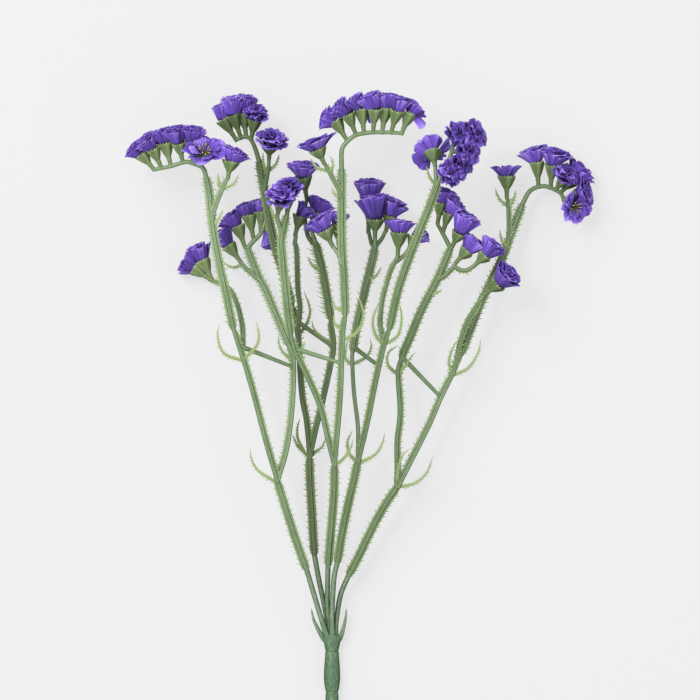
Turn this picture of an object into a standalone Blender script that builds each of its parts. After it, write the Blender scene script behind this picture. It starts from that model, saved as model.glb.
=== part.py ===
"""An artificial statice spray, lying on a flat surface with its flowers towards +Y.

A moulded stalk carries a collar with five smooth stems. A fringed, forked branch is plugged on each
of them, and the branches end in one-sided spikes of green calyx cups with pleated violet corollas.
+X is to the viewer's right, +Y runs from the stalk to the flowers and +Z is up, off the surface.
The origin is on the surface, under the stalk's first swelling. Tables are in millimetres.
"""

import math
import random

import bmesh
import bpy
from mathutils import Vector

MM = 0.001
GAP = 0.3

# Stalk and collar
STALK_SIDES = 16
BELLY_R = 3.95
STALK_PROFILE = [
    (-62.0, 3.3), (-36.0, 3.3), (-34.5, 2.85), (-33.0, 3.2), (-29.0, 3.7), (-24.0, BELLY_R),
    (-20.0, BELLY_R), (-14.5, 3.6), (-11.0, 3.2), (-8.2, 3.1), (-7.3, 2.85), (-6.0, 3.3),
    (-1.5, BELLY_R), (2.5, BELLY_R), (7.0, 3.7), (10.5, 3.35), (13.0, 3.1),
]
STALK_Z = BELLY_R * math.cos(math.pi / STALK_SIDES)
JOINT_PIN_R = 1.5
JOINT_PIN_TOP = 17.5
COLLAR_PROFILE = [(13.3, 3.15), (14.2, 3.2), (17.0, 3.9), (19.5, 4.55), (21.2, 4.3), (22.6, 2.6)]
SEPALS = [
    [(-3.6, 18.0, 5.4), (-6.6, 23.5, 6.4), (-9.2, 29.0, 7.2), (-10.5, 35.0, 7.6)],
    [(3.4, 18.0, 4.4), (5.4, 24.0, 5.0), (6.8, 29.5, 5.4), (7.3, 35.0, 5.6)],
]
BARE_R = 1.3
PLUG_R = 0.5
SOCKET_R = 1.1
SOCKET_LIP = 0.45
PLUG_LENGTH = 4.0
BARE_SIDES = 6
BARE_STEPS = 4
BARE_STEMS = [
    [(-1.6, 18.6, 5.0), (-4.0, 25.0, 7.4), (-8.2, 39.0, 13.5), (-12.5, 53.5, 19.0)],
    [(-1.4, 18.6, 3.2), (-3.2, 32.5, 3.8), (-6.6, 49.0, 6.0), (-8.75, 61.0, 8.0)],
    [(-0.6, 18.6, 4.4), (-2.3, 36.0, 7.0), (-2.2, 46.0, 9.0), (-2.0, 55.5, 11.5)],
    [(0.2, 18.6, 5.4), (0.0, 32.5, 9.6), (1.0, 50.0, 14.5), (2.5, 57.0, 16.5)],
    [(1.4, 18.6, 4.0), (2.2, 29.0, 5.2), (4.3, 41.5, 8.0), (8.0, 50.5, 10.5)],
]

# Fringed stems: the rib's half height, the wing's half width and how far a tooth stands past it
TOOTH_PITCH = 6.0
TOOTH = 1.5
TOOTH_LEAN = 0.78
MAIN = (1.25, 1.95)
THIN = (0.8, 1.15)

# Twigs, calyx cups and corollas
TWIG_R = 0.95
TWIG_TAPER = 0.1
TWIG_SIDES = 4
TWIG_STEP = 5.5
CALYX_SIDES = 6
LOBES = 10
SEAT_SHARE = 0.75
CUP_R = 3.2
SINGLE_CUP_R = 3.8
SMALL_CUP_R = 2.4
HANGING_CUP_R = 1.9
SHARP_ANGLE = math.radians(38)
WELD = 0.004


def branch_a():
    """The left front branch: one long curled stem and one that leans behind it."""
    stems = [
        (MAIN, [("LR", [(-12.5, 53.5, 19), (-18, 69, 23), (-22.5, 83, 26), (-27.5, 99, 28)])]),
        (MAIN, [("R", [(-27.2, 98, 28), (-33, 117.5, 31), (-39.5, 142.5, 34), (-44.8, 160.5, 36)]),
                ("LR", [(-49, 174, 37), (-52.5, 190.5, 37), (-56.7, 209.5, 36), (-59.6, 226, 34),
                        (-61.3, 242.5, 32), (-63, 251, 31)])]),
        (MAIN, [("L", [(-27, 98.5, 28), (-22.2, 115.5, 26.5), (-19.5, 137.5, 25), (-19, 158.5, 24)]),
                ("LR", [(-21.5, 166, 23), (-25.5, 175.5, 20), (-33.5, 194.5, 14.5), (-37, 201, 12.5),
                        (-42.7, 215.5, 9.5)])]),
        (THIN, [("LR", [(-44.5, 161, 35.6), (-44.5, 173.5, 30), (-45.5, 180, 26), (-47.5, 187, 21),
                        (-51, 194, 16), (-56, 197.2, 11.5), (-60.8, 199, 8.5)])]),
    ]
    twigs = [
        [(-62.8, 250, 31), (-64.5, 255, 30.5), (-69.5, 257.2, 30), (-73, 258, 30), (-80.5, 255.8, 30),
         (-89.2, 254, 30)],
        [(-42.4, 214.6, 9.6), (-40, 217.8, 9), (-35.6, 222.4, 9), (-34, 227, 9), (-33, 229.8, 8.7)],
        [(-59.8, 229, 33.5), (-58.5, 234, 34), (-55, 243, 34.5), (-52, 249.8, 34.5)],
        [(-36.3, 199, 13), (-42.7, 205, 11.5), (-45.6, 207.9, 10.5)],
        [(-45.6, 165.9, 36.4), (-18.9, 155.3, 24.3)],
    ]
    bracts = [
        [(-28, 98, 28), (-36.5, 103.5, 29), (-40, 109, 30), (-41, 115, 31)],
        [(-45, 158.8, 36), (-54, 162.5, 37), (-57, 171, 38.5), (-56, 177, 39.5)],
        [(-44, 159.5, 36), (-38, 165.5, 38.5), (-36.5, 171, 39.5), (-37.7, 178.5, 41)],
        [(-19.5, 158.5, 24), (-24.5, 163, 25.5), (-26.5, 167.5, 26.5), (-26.5, 172, 27.5)],
        [(-54.6, 244, 34.5), (-56.5, 247.5, 35), (-56.7, 252.5, 36)],
        [(-54, 244.5, 34.5), (-48.8, 247.3, 35.5), (-46.5, 252, 36.5)],
        [(-59.3, 226, 33.8), (-56.5, 229.5, 34.5), (-54.2, 234.5, 35)],
        [(-45, 207, 10.6), (-49, 205.3, 10.6), (-53, 206.8, 10.2), (-55, 209.4, 10)],
    ]
    heads = {
        "corollas_a1_spike": [
            ((-89, 254.2, 30), (-95, 261.6, 30.5), (-100, 265.4, 31), 5.8, CUP_R),
            ((-85.2, 255, 30), (-89.4, 264.3, 32.2), (-94.2, 269.4, 34), 6.5, CUP_R),
            ((-80.5, 256.2, 30), (-83.2, 266.6, 29.8), (-86, 273.4, 29.5), 6.8, CUP_R),
            ((-74.5, 257.8, 30), (-76.5, 267, 32.4), (-78.6, 274.8, 34), 6.8, CUP_R),
            ((-69.5, 257.4, 30), (-70, 267.4, 31.5), (-69.4, 274.6, 33), 7, CUP_R),
            ((-65, 256.2, 30.6), (-63.8, 261.4, 34), (-63.4, 265.8, 39.5), 10, SINGLE_CUP_R),
        ],
        "corolla_a1_side": [((-52, 249.8, 34.5), (-50.5, 257.8, 35), (-47.6, 263.6, 36), 7.5, SINGLE_CUP_R)],
        "corollas_a1_low": [
            ((-60.6, 199, 8.2), (-68.5, 204.6, 6.2), (-74.5, 207.8, 6.2), 6.8, CUP_R),
            ((-60, 199, 8.8), (-64.5, 208.3, 7.6), (-67.6, 215.8, 8), 6.8, CUP_R),
        ],
        "corollas_a2_spike": [
            ((-45.6, 207.9, 10.5), (-51.5, 216, 10), (-56.4, 223, 10), 6.2, CUP_R),
            ((-43.6, 215.6, 9.5), (-47.2, 225.6, 9.5), (-51.6, 231.4, 9.5), 7, CUP_R),
            ((-39.2, 219.4, 9), (-41.6, 231.2, 9.5), (-43.4, 237, 10), 6.2, CUP_R),
            ((-35.6, 222.6, 9), (-35.7, 232.6, 8.8), (-36.6, 238.8, 8.5), 5.4, SMALL_CUP_R),
        ],
        "corolla_a2_hanging": [((-33, 229.4, 8.6), (-32.2, 225, 7.8), (-31, 216, 6.8), 4.4, HANGING_CUP_R)],
    }
    return stems, twigs, bracts, heads


def branch_b():
    """The dark back branch: one stem to the top left spike and one to the middle of the spray."""
    stems = [
        (MAIN, [("LR", [(-8.75, 61, 8), (-9.5, 72.5, 9.5), (-10.2, 85, 11), (-11, 99, 12.5),
                        (-11.2, 111, 14)])]),
        (MAIN, [("R", [(-11.2, 110, 14), (-13, 128, 15.5), (-15.5, 142.5, 16.5), (-17.7, 174, 18)]),
                ("LR", [(-20, 186, 19), (-24.5, 203, 20.5), (-27.5, 212, 21.5), (-31.5, 230.2, 23),
                        (-34, 244.5, 23.5), (-36.5, 259.2, 24)])]),
        (MAIN, [("L", [(-11, 110, 14), (-8, 123.5, 15.5), (-4.5, 137.5, 16.5), (-0.2, 157, 18),
                       (1.2, 166.5, 18.5)]),
                ("LR", [(-0.5, 179, 20), (-4.2, 201.2, 24), (-6.5, 211, 26.5), (-8.2, 218, 27.4)])]),
        (THIN, [("LR", [(-17.5, 172, 18.3), (-16.5, 179, 20), (-16, 186.5, 22), (-17, 194, 24),
                        (-17.5, 212, 28.5), (-18.4, 218, 30.4)])]),
    ]
    twigs = [
        [(-36.3, 258, 24), (-38.5, 265, 24), (-41, 269.8, 24), (-44.5, 270.6, 24), (-48.2, 268.6, 24)],
        [(-34, 243, 23.5), (-33, 248, 24.5), (-31.8, 254, 25.5), (-31.5, 259.5, 26)],
        [(-18.5, 216.5, 30), (-18.4, 219, 30.7), (-17.7, 221.5, 31)],
        [(-8, 217, 27.2), (-9.2, 220.5, 26.6), (-10.4, 223.8, 25.8)],
        [(-8, 216, 27.4), (-12, 221, 21), (-13.6, 231, 18.5), (-12.6, 239.8, 25.6)],
        [(-18.3, 179, 18.6), (0.6, 165.5, 18.4)],
    ]
    bracts = [
        [(-11.5, 110.5, 14), (-14.7, 113.5, 15), (-17.5, 116.5, 15.5), (-20, 122, 16.5)],
        [(-14, 113, 15), (-17, 119.5, 17), (-17.3, 125, 18), (-16, 130, 19.5)],
        [(-10.8, 110.5, 14), (-8.5, 113, 13.2), (-5, 115.5, 12.8), (-3, 120.5, 12.5)],
        [(-17.4, 170.5, 17.6), (-13, 176.5, 17.4), (-11, 184, 18.5), (-14, 193.5, 20)],
        [(0.8, 167, 18.5), (-5, 170.5, 19), (-9, 174.5, 20), (-10, 179, 21)],
        [(-5.2, 204.8, 24.8), (-9.5, 206, 25.5), (-12.3, 211, 26)],
        [(-32.4, 252, 25.2), (-34.2, 257, 27), (-34.4, 263, 27.5)],
        [(-31.8, 253.5, 25.4), (-28, 257, 25), (-26.3, 262, 24.5)],
    ]
    heads = {
        "corollas_b1_spike": [
            ((-47.8, 268.9, 24), (-54.3, 278.8, 24), (-55.4, 286, 24), 5.2, CUP_R),
            ((-45.5, 270, 24), (-49.4, 281.2, 26), (-49.4, 289.8, 27), 6.2, CUP_R),
            ((-42.8, 270.4, 24), (-44.4, 281.4, 22.8), (-43, 290.4, 23), 6.4, CUP_R),
            ((-40.4, 269, 24), (-38.8, 278.6, 25.4), (-36.6, 287, 26), 6.2, CUP_R),
        ],
        "corolla_b1_side": [((-31.5, 259.4, 26), (-31, 265.6, 28.5), (-29, 273, 31), 8.3, SINGLE_CUP_R)],
        "corolla_b1_inner": [((-18.4, 221.4, 31), (-16, 230.6, 32.2), (-11.8, 235.6, 33.4), 5.6, CUP_R)],
        "corolla_b2_tip": [((-10.4, 223.6, 25.8), (-8, 232.2, 25.6), (-5, 238.6, 25), 7.2, CUP_R)],
        "corolla_b2_back": [((-12.6, 239.6, 26), (-14.4, 250.4, 29.5), (-14.2, 257.2, 31), 8, SINGLE_CUP_R)],
    }
    return stems, twigs, bracts, heads


def branch_c():
    """The middle branch: a thick light stem to the left and the tallest stem, which curls right."""
    stems = [
        (MAIN, [("LR", [(-2, 55.5, 11.5), (-0.7, 71, 17), (1, 92, 24), (1.2, 107, 29)])]),
        (MAIN, [("R", [(1.2, 106, 29), (-2, 118.5, 31), (-6, 135, 33), (-11.8, 149, 34.5),
                       (-18, 162, 36)]),
                ("LR", [(-20.5, 171, 37), (-22.8, 190.5, 38), (-24.6, 209.5, 38.5), (-25.2, 219, 38.5),
                        (-22.6, 231.5, 38.5)])]),
        (MAIN, [("L", [(1.4, 106, 29), (3, 123.5, 33), (4.5, 142.5, 37), (5.5, 170, 41.5)]),
                ("LR", [(6.5, 180.8, 43), (6, 200, 44), (5, 219, 44), (4.8, 255, 43)])]),
    ]
    twigs = [
        [(4.8, 254, 43), (4.8, 263, 42.5), (6.3, 266.5, 42), (9.5, 269.7, 42), (13, 271.5, 42),
         (19.5, 272.5, 42), (28.5, 272.5, 42), (35.3, 272, 42)],
        [(-24.6, 222, 38.6), (-26.6, 227, 39.2), (-27.3, 231.6, 39.7)],
        [(4.7, 239, 43.5), (3.3, 243.5, 44.5), (-1, 251.5, 45), (-3.75, 257, 45)],
        [(4.9, 206.5, 44), (3.6, 211, 43), (0.4, 216, 42)],
        [(5, 204.5, 43.4), (4.8, 209, 38), (3.6, 214, 33.5)],
        [(-17.4, 164.4, 36.3), (5, 157.3, 39.6)],
    ]
    bracts = [
        [(1.5, 106.5, 29), (5.5, 109.5, 31.5), (9, 114.5, 34), (10.8, 120, 36)],
        [(5.6, 169, 41.5), (12.5, 173, 43.5), (15.7, 181.5, 45.5), (13.2, 191, 47)],
        [(5.6, 174, 42.2), (1.5, 177, 43.5), (1, 182, 44.5)],
        [(6.4, 183, 43.2), (1.6, 185.5, 44.5), (0.6, 189.5, 45.5)],
        [(-17.2, 162, 36), (-14.8, 165, 36.6), (-13.5, 169, 37)],
        [(-24.6, 225, 38.5), (-29, 231, 38), (-31.3, 236.5, 38)],
        [(-2.2, 253.5, 45), (-7.5, 255, 45.5), (-11, 260, 46)],
        [(-1.6, 252.5, 45), (0.6, 256, 46), (-0.8, 261, 46.5)],
        [(4.2, 240.5, 44), (1.4, 241.5, 44.8), (0, 245.5, 45.5)],
    ]
    heads = {
        "corollas_c1_tip": [
            ((-27.3, 231, 39.6), (-26.4, 238, 42), (-26.2, 250.6, 45.5), 7, SMALL_CUP_R),
            ((-22.5, 230.5, 38.5), (-21.4, 238.4, 38.6), (-20.6, 250.4, 41.5), 6.2, SMALL_CUP_R),
        ],
        "corollas_c2_spike": [
            ((7.5, 268.6, 42), (2, 277.6, 41), (-4.6, 280.2, 40.5), 6, CUP_R),
            ((12, 271.4, 42), (8, 281.4, 44), (2, 286, 45), 6.2, CUP_R),
            ((16, 272, 42), (14.8, 283.2, 40.5), (9.8, 289, 40), 6.3, CUP_R),
            ((20.5, 272.5, 42), (21.4, 283.8, 44), (18, 290.8, 45), 6.5, CUP_R),
            ((25, 272.5, 42), (26.6, 283.6, 40.5), (26.4, 291, 40), 6.5, CUP_R),
            ((29.5, 272.4, 42), (32.4, 283, 44), (34.6, 289.6, 45), 6.4, CUP_R),
            ((34.8, 272, 42), (38.6, 281.6, 41), (43, 285.6, 40.5), 6, CUP_R),
        ],
        "corolla_c2_side": [((-3.75, 256.8, 45), (-7, 263.6, 45.5), (-9, 269, 46), 10.2, SINGLE_CUP_R)],
        "corolla_c2_low": [((0.4, 215.6, 42), (-3.4, 223.3, 42.5), (-7.6, 229.4, 43), 8.4, SINGLE_CUP_R)],
        "corolla_c2_back": [((3.6, 214, 33.6), (3, 226, 32), (3.8, 232.2, 31.5), 5.2, CUP_R)],
    }
    return stems, twigs, bracts, heads


def branch_d():
    """The branch right of the middle: a low dark stem behind and a long one in front."""
    stems = [
        (MAIN, [("LR", [(2.5, 57, 16.5), (5.5, 74.5, 21), (8.8, 90, 25), (11, 99, 27), (13, 109, 29)])]),
        (MAIN, [("", [(12.8, 108, 29), (13, 125, 26.5), (11, 142.5, 23), (10.2, 157, 20.5)]),
                ("LR", [(10.3, 163, 19.8), (13, 179, 18.5), (18, 200, 18), (20.8, 211.5, 18),
                        (21.6, 217, 18)])]),
        (MAIN, [("L", [(13.2, 108, 29), (18, 128, 33.5), (22.5, 150, 38), (26.5, 167.5, 41)]),
                ("LR", [(28.5, 174, 42.5), (32.5, 192, 44.5), (36, 203, 45), (42, 219, 45),
                        (49, 236.5, 43.5), (53, 247.5, 42)])]),
        (THIN, [("LR", [(26, 167, 40.8), (24.5, 174, 39.5), (24, 179, 38), (25, 188.5, 36),
                        (27, 196.5, 34.5), (29.5, 204.5, 33), (32.3, 209.5, 32)])]),
    ]
    twigs = [
        [(21.4, 215.6, 18), (21.6, 218.2, 18), (21.5, 221, 18)],
        [(21.2, 214.6, 17.6), (19.6, 218, 13), (18.2, 224, 9)],
        [(21.6, 216, 17.8), (24.8, 219.5, 15), (27, 224, 14.5)],
        [(52.7, 246.6, 42), (55.2, 253, 41.2), (58.4, 259, 40.7), (60.8, 267, 40.4)],
        [(52.4, 246.2, 42), (51.8, 251, 41.6), (51.5, 255.8, 40.6)],
        [(31.8, 208, 32.3), (36, 211.2, 30.5), (38, 214, 30)],
        [(32, 208.8, 32.2), (32.8, 211, 32)],
        [(10.9, 165.4, 19.4), (23.9, 155.6, 39.2)],
    ]
    bracts = [
        [(12.4, 108.5, 29), (8.8, 112, 27), (7.8, 118, 25), (10.3, 124, 23.5)],
        [(13.4, 107.5, 29), (21.7, 112, 30), (25.5, 118.5, 31), (26.2, 123, 32)],
        [(10.6, 157, 20.5), (17, 160.5, 21.5), (19.5, 165, 22.5), (19.2, 170, 23.5)],
        [(9.9, 156.5, 20.6), (6.6, 160, 20.4), (7, 165, 20.6), (8, 170, 21)],
        [(18, 199.5, 18), (22, 201, 19), (24.8, 206, 20)],
        [(26.2, 167, 41), (22, 171, 42), (20.5, 179, 43.5), (23.5, 188.5, 45.5)],
        [(26.8, 167, 41), (33, 171.5, 42.5), (34.7, 180, 44), (33.7, 187.5, 47.5)],
        [(52, 246, 42), (48.6, 250.5, 42.5), (47.2, 256, 43)],
    ]
    heads = {
        "corollas_d1_spike": [
            ((21.5, 220.2, 18), (21.6, 228.8, 18.4), (21, 240.6, 19), 9.5, SINGLE_CUP_R),
            ((18.2, 223.4, 9.2), (18.6, 237.2, 7.8), (18.6, 248.4, 8.4), 8.2, CUP_R),
            ((27, 223.6, 14.5), (28.8, 230.8, 15.5), (32.2, 238.4, 16.5), 6.6, CUP_R),
        ],
        "corollas_d2_spike": [
            ((54.6, 250.6, 41.4), (56.6, 251, 45.2), (60.2, 252.4, 51), 7.4, SMALL_CUP_R),
            ((57.6, 257.2, 40.9), (61.6, 256.8, 44), (66.4, 256.6, 50), 7.4, SMALL_CUP_R),
            ((59.6, 263, 40.5), (64.8, 263.2, 42.8), (69.8, 263.4, 49), 8.2, SMALL_CUP_R),
            ((60.4, 266, 40.5), (61.6, 269.8, 43.6), (64.4, 272.2, 49.6), 7.4, SMALL_CUP_R),
            ((60.8, 266.2, 40.4), (68, 270, 41.4), (73, 272.4, 46), 8.4, SMALL_CUP_R),
        ],
        "corolla_d2_tip": [((51.5, 255.6, 40.5), (50.4, 262, 36.5), (49.4, 265, 31.5), 9.6, SINGLE_CUP_R)],
        "corolla_d2_side": [((32.8, 210.8, 32), (33.5, 221.8, 31.5), (34, 228.2, 31), 8, SINGLE_CUP_R)],
        "corolla_d2_right": [((38, 213.6, 30), (41, 219.6, 29.4), (46.4, 222.6, 29), 5.2, CUP_R)],
    }
    return stems, twigs, bracts, heads


def branch_e():
    """The right branch: a short stem in front and a long curled one that lies on its flowers."""
    stems = [
        (MAIN, [("LR", [(8, 50.5, 10.5), (13.5, 61, 12.5), (20, 74.5, 15), (26.5, 86.5, 17.5),
                        (33, 96, 19)])]),
        (MAIN, [("R", [(32, 95.2, 19), (32.3, 105, 20), (32.3, 118.5, 21.5), (33.8, 133, 23),
                       (32.8, 152, 24.3)]),
                ("LR", [(34.5, 159.5, 25), (38.5, 169, 26), (45, 184.5, 27.5), (53, 200, 28.5),
                        (59.5, 215.5, 28.5)])]),
        (MAIN, [("L", [(33, 95.2, 19), (41.5, 112, 19.5), (49, 127, 19.5), (54.8, 140.5, 19),
                       (60.5, 152, 18.5)]),
                ("LR", [(64.5, 161.5, 18), (74, 186.5, 16), (84.5, 208.5, 13.5), (90, 223, 12),
                        (95.5, 237.5, 10.5)])]),
        (THIN, [("LR", [(61, 153, 19), (63.5, 165.5, 20.5), (67, 177, 22.5), (72, 185.5, 24.5),
                        (75, 190, 25.6)])]),
    ]
    twigs = [
        [(59.2, 214.8, 28.5), (56, 221, 28.5), (52.6, 227, 28.5)],
        [(52.6, 199, 28.4), (57.5, 202.5, 29), (62, 207.7, 29.5)],
        [(60.5, 206, 29.3), (66, 203.8, 30), (71, 206.2, 30.5)],
        [(95.2, 236.8, 10.6), (98.5, 243, 10), (102.5, 245.5, 9.5), (107, 246, 9.5), (111, 244.5, 9.5),
         (114.8, 242.2, 9.5), (116, 238.5, 9.5), (117, 235.3, 9.5)],
        [(74.2, 189, 25.4), (76.1, 191.8, 26)],
        [(88.3, 218.6, 12.5), (88.2, 227, 13.5), (88, 235, 14), (87.5, 240.4, 14)],
        [(35.2, 160.3, 25.2), (53.8, 141, 19)],
    ]
    bracts = [
        [(33.5, 95.5, 19), (41.5, 97.5, 20), (47.5, 103, 21), (50.5, 111, 22)],
        [(32.2, 97, 19.4), (33.5, 107, 22.5), (35.8, 111.8, 23.5), (39, 115, 24)],
        [(32.6, 152, 24.3), (28, 156.5, 25), (28.2, 162.5, 26), (33.2, 166.5, 27.5)],
        [(33.2, 152.5, 24.3), (37, 156.5, 25.5), (39.5, 160.5, 26.5), (42, 163, 27)],
        [(60, 151.5, 18.6), (58.6, 158, 20), (60, 164, 21.5), (63, 169.7, 23)],
        [(60.8, 151.5, 18.5), (68, 155, 19.5), (73, 162.5, 20.5), (74.5, 169.7, 21.5)],
        [(49.5, 192, 28), (52.5, 192.6, 28.6), (55.3, 194.6, 29)],
        [(88.8, 214.2, 12.6), (85.2, 218.6, 14.2), (83.8, 224.6, 15.4)],
        [(88, 236, 14), (83.8, 239.5, 14.5), (81.5, 245, 15)],
        [(88.1, 236, 14), (91, 239.5, 14.5), (91.9, 244.5, 15)],
    ]
    heads = {
        "corollas_e1_spike": [
            ((52.8, 227.4, 28.5), (54.4, 236.8, 28.5), (57.8, 243.4, 29), 7.2, CUP_R),
            ((55.4, 222.6, 28.5), (58, 232.2, 31.4), (62.4, 238, 33), 6.2, SMALL_CUP_R),
            ((59.8, 215.2, 28.5), (63.4, 222.2, 30.6), (68, 231, 32), 7.8, CUP_R),
            ((61.9, 207.7, 29.5), (67, 213.2, 29), (71.8, 219, 29), 7.2, CUP_R),
            ((71, 206, 30.5), (76, 211, 30.4), (81.4, 217.4, 30.5), 7.2, CUP_R),
        ],
        "corollas_e2_spike": [
            ((103.4, 245.6, 9.5), (102.5, 257.6, 10), (100.2, 264.6, 10.5), 8, CUP_R),
            ((109.4, 245.2, 9.5), (110.2, 256.4, 12), (111.8, 263.6, 14), 8.2, CUP_R),
            ((111.8, 244, 9.6), (115.2, 248.6, 12), (118.6, 253.2, 16.6), 8.2, SMALL_CUP_R),
            ((114.4, 242.6, 9.5), (119.8, 248.8, 7.2), (126, 254.8, 6.8), 8.4, CUP_R),
            ((115.8, 239, 9.5), (122.4, 242, 10), (128, 243.6, 12), 8, SMALL_CUP_R),
            ((116.9, 235.6, 9.5), (120.6, 235.4, 12), (123.4, 235.4, 17), 8.2, SMALL_CUP_R),
        ],
        "corolla_e2_top": [((87.5, 240.2, 14), (87.3, 250.4, 14), (87, 256, 14), 8, SINGLE_CUP_R)],
        "corolla_e2_side": [((76.1, 191.7, 26), (83, 197.2, 28.4), (89, 203, 30), 8.2, SINGLE_CUP_R)],
    }
    return stems, twigs, bracts, heads


def clear_scene():
    for obj in list(bpy.data.objects):
        bpy.data.objects.remove(obj)


def plastic(name, colour, roughness):
    """A Principled material for one sub-part."""
    material = bpy.data.materials.new(name)
    material.use_nodes = True
    shader = material.node_tree.nodes["Principled BSDF"]
    shader.inputs["Base Color"].default_value = (*colour, 1.0)
    shader.inputs["Roughness"].default_value = roughness
    shader.inputs["Metallic"].default_value = 0.0
    return material


def smooth_route(points, samples=10):
    """Dense points on the Catmull-Rom curve through a route's own points."""
    own = [Vector(p) for p in points]
    own = [own[0] * 2 - own[1]] + own + [own[-1] * 2 - own[-2]]
    dense = []
    for before, start, end, after in zip(own, own[1:], own[2:], own[3:]):
        for k in range(samples):
            t = k / samples
            dense.append(0.5 * (2 * start + (end - before) * t
                                + (2 * before - 5 * start + 4 * end - after) * t ** 2
                                + (3 * start - before - 3 * end + after) * t ** 3))
    return dense + [own[-2]]


def route_length(points):
    points = [Vector(p) for p in points]
    return sum((b - a).length for a, b in zip(points, points[1:]))


def point_on(dense, distance):
    """The point at a distance along a dense route, and the route's direction there."""
    for a, b in zip(dense, dense[1:]):
        span = (b - a).length
        if distance <= span:
            return a + (b - a) * (distance / span), (b - a).normalized()
        distance -= span
    return dense[-1] + (dense[-1] - dense[-2]).normalized() * distance, (dense[-1] - dense[-2]).normalized()


def across(direction):
    """The level vector to the right of a direction of travel, and the one that completes the frame."""
    right = direction.cross(Vector((0, 0, 1)))
    right = right.normalized() if right.length > 0.05 else Vector((1, 0, 0))
    return right, right.cross(direction).normalized()


def ring(centre, direction, sides, radius, turn=0.5):
    right, up = across(direction)
    angles = [2 * math.pi * (k + turn) / sides for k in range(sides)]
    return [centre + right * (radius * math.cos(a)) + up * (radius * math.sin(a)) for a in angles]


def piece_from_faces(name, points, faces):
    """A loose object from points in millimetres; its faces are made to point out."""
    mesh = bpy.data.meshes.new(name)
    mesh.from_pydata([p * MM for p in points], [], faces)
    bm = bmesh.new()
    bm.from_mesh(mesh)
    bmesh.ops.recalc_face_normals(bm, faces=bm.faces)
    bm.to_mesh(mesh)
    bm.free()
    obj = bpy.data.objects.new(name, mesh)
    bpy.context.scene.collection.objects.link(obj)
    return obj


def loft(name, rings, tip=None):
    """One closed body through rings of equal count, capped flat or drawn to a tip point."""
    count = len(rings[0])
    points = [p for one in rings for p in one]
    faces = [tuple(range(count))]
    for k in range(len(rings) - 1):
        for j in range(count):
            a, b = k * count + j, k * count + (j + 1) % count
            faces.append((a, b, b + count, a + count))
    last = (len(rings) - 1) * count
    if tip is None:
        faces.append(tuple(range(last, last + count)))
    else:
        points.append(tip)
        faces += [(last + j, last + (j + 1) % count, len(points) - 1) for j in range(count)]
    return piece_from_faces(name, points, faces)


def twig(points):
    """A thin smooth stem that tapers a little towards its florets."""
    dense = smooth_route(points)
    length = route_length(dense)
    steps = max(1, round(length / TWIG_STEP))
    rings = []
    for k in range(steps + 1):
        centre, direction = point_on(dense, length * k / steps)
        rings.append(ring(centre, direction, TWIG_SIDES, TWIG_R * (1 - TWIG_TAPER * k / steps)))
    return loft("twig", rings)


def bract(name, points):
    """A curved, three-sided pointed leaf that tapers from its root to its tip."""
    dense = smooth_route(points)
    length = route_length(dense)
    rings = []
    for share, radius in ((0.0, 1.05), (0.38, 1.0), (0.74, 0.65)):
        centre, direction = point_on(dense, length * share)
        rings.append(ring(centre, direction, 3, radius, turn=0.25))
    return loft(name, rings, tip=dense[-1])


def fringed_stem(name, size, stretches, socket=False):
    """A ribbed stem with a toothed wing on the sides, L or R, that each of its stretches names."""
    half_height, half_width = size
    dense = smooth_route([p for _, points in stretches for p in points])
    length = route_length(dense)
    last_sides = stretches[-1][0]
    change = length - route_length(stretches[-1][1]) if len(stretches) > 1 else 0.0
    teeth = max(2, round(length / TOOTH_PITCH))
    pitch = length / teeth
    tooth = TOOTH * (half_width / MAIN[1]) ** 0.5
    points_out = []
    rows = {"top": [], "R": [], "bottom": [], "L": []}

    def add(row, point):
        rows[row].append(len(points_out))
        points_out.append(point)

    for k in range(teeth + 1):
        sides = last_sides if pitch * k >= change else stretches[0][0]
        centre, direction = point_on(dense, pitch * k)
        right, up = across(direction)
        height = half_height + SOCKET_LIP if socket and k == 0 else half_height
        add("top", centre + up * height)
        add("bottom", centre - up * height)
        add("R", centre + right * (half_width if "R" in sides else half_height))
        add("L", centre - right * (half_width if "L" in sides else half_height))
        if k < teeth:
            tip, direction = point_on(dense, pitch * (k + TOOTH_LEAN))
            right, up = across(direction)
            add("R", tip + right * (half_width + tooth if "R" in sides else half_height))
            add("L", tip - right * (half_width + tooth if "L" in sides else half_height))
    faces = []
    for rib in ("top", "bottom"):
        for edge in "LR":
            for k in range(teeth):
                a, b = rows[rib][k], rows[rib][k + 1]
                low, tip, high = rows[edge][2 * k:2 * k + 3]
                faces += [(a, low, tip), (a, tip, b), (b, tip, high)]
    start = [rows["top"][0], rows["R"][0], rows["bottom"][0], rows["L"][0]]
    end = [rows["top"][-1], rows["R"][-1], rows["bottom"][-1], rows["L"][-1]]
    faces.append(tuple(end))
    if socket:
        faces += socket_faces(points_out, start, dense)
    else:
        faces.append(tuple(start))
    return piece_from_faces(name, points_out, faces)


def socket_faces(points_out, mouth, dense):
    """The blind hole in a branch's lower end that takes the collar's pin."""
    first = len(points_out)
    for depth in (0.0, PLUG_LENGTH + GAP):
        centre, direction = point_on(dense, depth)
        right, up = across(direction)
        points_out += [centre + up * SOCKET_R, centre + right * SOCKET_R,
                       centre - up * SOCKET_R, centre - right * SOCKET_R]
    faces = [tuple(range(first + 4, first + 8))]
    for j in range(4):
        n = (j + 1) % 4
        faces.append((mouth[j], mouth[n], first + n, first + j))
        faces.append((first + j, first + n, first + 4 + n, first + 4 + j))
    return faces


def calyx(name, base, mouth, mouth_radius):
    """A slim funnel from the twig to its open rim."""
    base, mouth = Vector(base), Vector(mouth)
    direction = (mouth - base).normalized()
    rings = [ring(base + (mouth - base) * share, direction, CALYX_SIDES, radius)
             for share, radius in ((-0.06, 0.7), (0.55, 1.45), (1.0, mouth_radius))]
    return loft(name, rings)


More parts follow.
